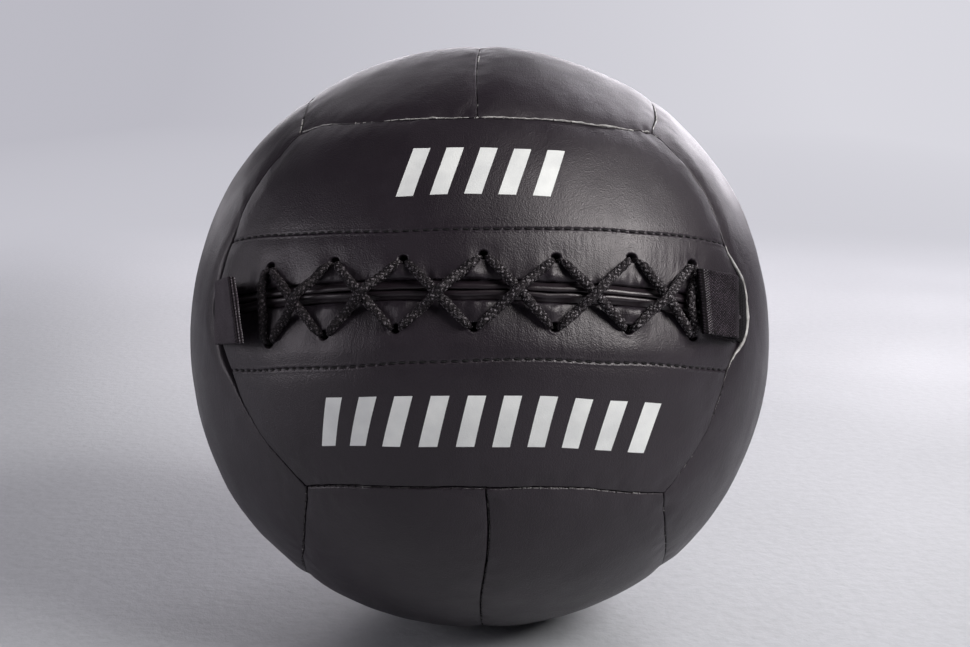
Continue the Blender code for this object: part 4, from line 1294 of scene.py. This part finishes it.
def pull_tab(label, tab, webbing, grooves, inner_drop=0.0):
    """The folded strap. Grooves are distances round it from the fold's middle."""
    reach = STRAIGHT + FOLD_QUARTER
    straight = graded(reach, STRAP_STEP) * reach
    s = np.concatenate([-straight[::-1], straight[1:]])
    fold = np.linspace(-FOLD_ZONE, FOLD_ZONE, FOLD_LINES)
    s = np.sort(np.concatenate([s[np.abs(s) > FOLD_ZONE + 0.1], fold]))
    s, h = np.meshgrid(s, HEIGHTS, indexing="ij")
    half = WEBBING_THICKNESS / 2 * rounded(h)
    selvage = bump(np.abs(h) - (TAB_WIDTH / 2 - SELVAGE_IN), SELVAGE_REACH) * (rounded(h) > 0)
    half = half + SELVAGE_RISE * selvage
    groove = sum(GROOVE_DEPTH * bump(s - line, GROOVE_REACH) for line in grooves) * (half > GROOVED_HALF)
    station, offset, normal = strap_middle(s)
    ripple = RIPPLE * waves(np.stack([s, h, 0 * s], -1), RIPPLE_LENGTH, 95)
    up = h - inner_drop * ramp(-s, DROP_START, reach)
    sheets = []
    for face in (1, -1):
        away = (face * half + ripple) * pressed(station) - groove * (face > 0)
        sheets.append(tab.place(station + normal[..., 0] * away, offset + normal[..., 1] * away, up))
    points = np.concatenate([sheets[0], sheets[1][:, ::-1]], 1)
    maps = np.stack([s, h], -1)
    maps = np.concatenate([maps, maps[:, ::-1]], 1)
    strap = mesh_from_grid(f"{label}_webbing_tab", points, wrap=True, uv=maps)
    close_strap(strap, *points.shape[:2])
    finished(strap, webbing, f"{label}_tab", (f"{label}_pull_tab",))


YARN_PITCH = 1.32
YARN_LIFT = 0.06
YARN_SAG = 0.10
YARN_SHIFT = 0.30
YARN_CLIMB = 0.17
YARN_START = 0.6
YARN_END = 0.5


def tab_yarns(label, tab, rows):
    """Pale yarns across the strap, in rows of (distance from the fold's middle, first height, radius)."""
    strokes = []
    for row_at, first, radius in rows:
        for height in np.arange(YARN_START + first - TAB_WIDTH / 2, TAB_WIDTH / 2 - YARN_END, YARN_PITCH):
            ends = []
            for way in (-1, 1):
                station, offset, normal = strap_middle(np.array(row_at + way * YARN_SHIFT))
                away = WEBBING_THICKNESS / 2 + YARN_LIFT
                station, offset = station + normal[0] * away, offset + normal[1] * away
                up = np.array(height + way * YARN_CLIMB)
                ends.append(tab.place(station, offset, up))
            outward = tab.place(station + normal[0], offset + normal[1], up) - ends[1]
            strokes.append((ends[0], ends[1], outward / np.linalg.norm(outward), YARN_SAG, radius))
    yarns = capsules(f"{label}_webbing_tab_stitches", strokes, sides=7, steps=5)
    finished(yarns, TAB_THREAD, f"{label}_tab")


LEFT_TAB = Tab(-1, lift_deg=12.4, centre=-3.9, drop=3.9, twist=0.18)
RIGHT_TAB = Tab(1, lift_deg=1.4, centre=2.4, drop=2.2, twist=-0.05, shear=0.07)
LEFT_GROOVES = (1.75, 0.75, -0.2)
# One webbing in lit and shaded copies: the gain paints the left tab about ten times lighter than the right,
# where more light falls on it, and the root darkest, as painted shade where it dives into the seam.
ROOT_WEBBING = webbing_material("tab_root_webbing", 0.12, 0.16, (0.012, 0.010, 0.012))
LEFT_WEBBING = webbing_material("left_tab_webbing", 2.1, 0.17, (0.15, 0.135, 0.15), LEFT_GROOVES)
RIGHT_WEBBING = webbing_material("right_tab_webbing", 0.20, 0.115, (0.092, 0.073, 0.092), (-1.2,), 1.7)
tab_root("left", LEFT_TAB, sewn_height=-1.6, risen_height=-0.7)
tab_root("right", RIGHT_TAB, sewn_height=-1.35, risen_height=-0.25)
pull_tab("left", LEFT_TAB, LEFT_WEBBING, LEFT_GROOVES)
tab_yarns("left", LEFT_TAB, ((-1.0, 0.0, 0.21),))
pull_tab("right", RIGHT_TAB, RIGHT_WEBBING, (), inner_drop=2.0)
tab_yarns("right", RIGHT_TAB, ((2.4, 0.0, 0.22), (4.1, 0.66, 0.19), (5.8, 0.0, 0.15)))


# The inner pieces keep their solids and get real materials.

INNER = {
    "upper_facing": FACING_LEATHER,
    "lower_facing": FACING_LEATHER,
    "lace_knot": BRAID,
    "tongue": plain_fibre("tongue_canvas_weave", (0.03, 0.03, 0.03), (0.07, 0.07, 0.07), 900, 0.85),
    "padding_front": plain_fibre("grey_foam_cells", (0.26, 0.26, 0.27), (0.42, 0.42, 0.43), 700, 0.9),
    "padding_rear": plain_fibre("grey_foam_cells_rear", (0.26, 0.26, 0.27), (0.42, 0.42, 0.43), 700, 0.9),
    "fill_front": plain_fibre("fibre_fill_tufts", (0.55, 0.53, 0.50), (0.80, 0.78, 0.74), 150, 0.95),
    "fill_rear": plain_fibre("fibre_fill_tufts_rear", (0.55, 0.53, 0.50), (0.80, 0.78, 0.74), 150, 0.95),
    "weight_bag": plain_fibre("bag_cloth_weave", (0.38, 0.35, 0.30), (0.52, 0.49, 0.43), 800, 0.9),
    "iron_sand": plain_fibre("iron_sand_grains", (0.03, 0.028, 0.026), (0.11, 0.10, 0.09), 1200, 0.6),
    "bag_tie": plain_fibre("tie_cord_fibres", (0.45, 0.42, 0.36), (0.65, 0.62, 0.55), 900, 0.85),
}
for node, material in INNER.items():
    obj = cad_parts[node]
    obj.data.materials.clear()
    obj.data.materials.append(material)


# Camera, floor and light.

CAMERA_PLACE = (0.01166, -0.82909, 0.33281)
CAMERA_TURN_DEG = (79.7864, -0.5524, 0.6863)
camera = bpy.data.objects.new("camera", bpy.data.cameras.new("camera"))
camera.data.sensor_width = 36
camera.data.lens = 50
camera.location = CAMERA_PLACE
camera.rotation_euler = Euler([radians(turn) for turn in CAMERA_TURN_DEG])
bpy.context.scene.collection.objects.link(camera)
bpy.context.scene.camera = camera

WALL_START, WALL_FULL = 0.75, 2.6
WALL_HALF_WIDTH = 2.5


def floor_material():
    """Pale concrete. The camera sees it turn with distance into a pale wall that glows for the camera only
    and lights nothing; the wall is painted lighter toward the right, as if lit from there.
    """
    n = Nodes("floor_concrete")
    where = n.object_space()
    tone = n.noise(where, 2.2, 6, 0.6)
    grit = n.noise(where, 120, 4, 0.65)
    color = n.mix(n.mapped(tone, 0.3, 0.7), (0.415, 0.425, 0.450), (0.475, 0.485, 0.510))
    color = n.mix(n.mapped(grit, 0.35, 0.7, 0.0, 0.35), color, (0.325, 0.333, 0.355))
    n.set(Base_Color=color, Roughness=n.mapped(tone, 0.3, 0.7, 0.5, 0.62), Normal=n.bump(grit, 0.0012, 0.4))
    away = n.add("ShaderNodeVectorMath", {0: where}, operation="LENGTH").outputs["Value"]
    seen = n.add("ShaderNodeLightPath").outputs["Is Camera Ray"]
    spans = {"Value": away, "From Min": WALL_START, "From Max": WALL_FULL}
    far = n.add("ShaderNodeMapRange", spans, interpolation_type="SMOOTHERSTEP")
    across = n.add("ShaderNodeSeparateXYZ", {0: where}).outputs["X"]
    # Painted light: the wall glows lighter toward the right, as if lit from there.
    sideways = n.mapped(across, -WALL_HALF_WIDTH, WALL_HALF_WIDTH)
    pale_color = n.mix(sideways, (0.50, 0.495, 0.55), (0.69, 0.685, 0.74))
    pale = n.add("ShaderNodeEmission", {"Color": pale_color, "Strength": 1.0})
    blend = n.add("ShaderNodeMixShader", {0: n.times(seen, far.outputs[0])})
    n.tree.links.new(n.shader.outputs[0], blend.inputs[1])
    n.tree.links.new(pale.outputs[0], blend.inputs[2])
    n.tree.links.new(blend.outputs[0], n.tree.nodes["Material Output"].inputs["Surface"])
    return n.material


ROOM_RADIUS, ROOM_CORNER, ROOM_HEIGHT = 9.0, 2.2, 6.0
CORNER_STEPS = 12
ROUND = 96


def room():
    """A round floor that curves up into its wall, in metres."""
    outline = [(radius, 0.0) for radius in (0.5, 1.5, 3.0, 6.0, ROOM_RADIUS)]
    for turn in [pi / 2 * i / CORNER_STEPS for i in range(1, CORNER_STEPS + 1)]:
        outline.append((ROOM_RADIUS + ROOM_CORNER * sin(turn), ROOM_CORNER * (1 - cos(turn))))
    outline.append((ROOM_RADIUS + ROOM_CORNER, ROOM_HEIGHT))
    turns = [2 * pi * j / ROUND for j in range(ROUND)]
    verts = [(0, 0, 0)]
    for radius, height in outline:
        verts += [(radius * cos(turn), radius * sin(turn), height) for turn in turns]
    faces = [(0, 1 + j, 1 + (j + 1) % ROUND) for j in range(ROUND)]
    for i in range(len(outline) - 1):
        for j in range(ROUND):
            a, b = 1 + i * ROUND + j, 1 + i * ROUND + (j + 1) % ROUND
            faces.append((a, a + ROUND, b + ROUND, b))
    mesh = bpy.data.meshes.new("floor")
    mesh.from_pydata(verts, [], faces)
    mesh.materials.append(floor_material())
    return new_object("floor", mesh)


floor = room()

world = bpy.data.worlds.new("studio")
world.use_nodes = True
bpy.context.scene.world = world
background = world.node_tree.nodes["Background"]
background.inputs["Color"].default_value = (0.80, 0.80, 0.86, 1)
background.inputs["Strength"].default_value = 0.035


MIDDLE = Vector((0, 0, 0.17))


def soft_box(name, azimuth, elevation, distance, size, power, tint):
    """A soft lamp that faces the ball. Azimuth runs from the front to the right, in degrees."""
    data = bpy.data.lights.new(name, "AREA")
    data.shape = "RECTANGLE"
    data.size, data.size_y = size
    data.energy = power
    data.color = tint
    obj = bpy.data.objects.new(name, data)
    a, e = radians(azimuth), radians(elevation)
    way = Vector((sin(a) * cos(e), -cos(a) * cos(e), sin(e)))
    obj.location = MIDDLE + way * distance
    obj.rotation_euler = way.to_track_quat("Z", "Y").to_euler()
    obj.visible_camera = False
    bpy.context.scene.collection.objects.link(obj)


WARM = (1.0, 0.985, 0.965)
COOL = (1.0, 0.965, 1.03)
LAMPS = (
    ("key_right", 60, 36, 2.4, (1.15, 0.95), 58, WARM),
    ("top_front", 38, 60, 2.4, (0.9, 0.9), 8, WARM),
    ("fill_left", 287, 13, 2.4, (1.7, 0.9), 17, COOL),
    ("back_low", 177, 11, 3.8, (3.2, 1.1), 58, COOL),
    ("back_low_right", 148, 12, 3.8, (1.6, 0.95), 17, COOL),
    ("back_low_left", 222, 9, 2.4, (0.9, 0.4), 2.6, COOL),
    ("rim_right", 152, 34, 3.4, (1.5, 1.1), 23, COOL),
    ("back_high", 200, 37, 3.0, (1.9, 1.1), 6, COOL),
)
for lamp in LAMPS:
    soft_box(*lamp)

bpy.context.scene.view_settings.view_transform = "Standard"
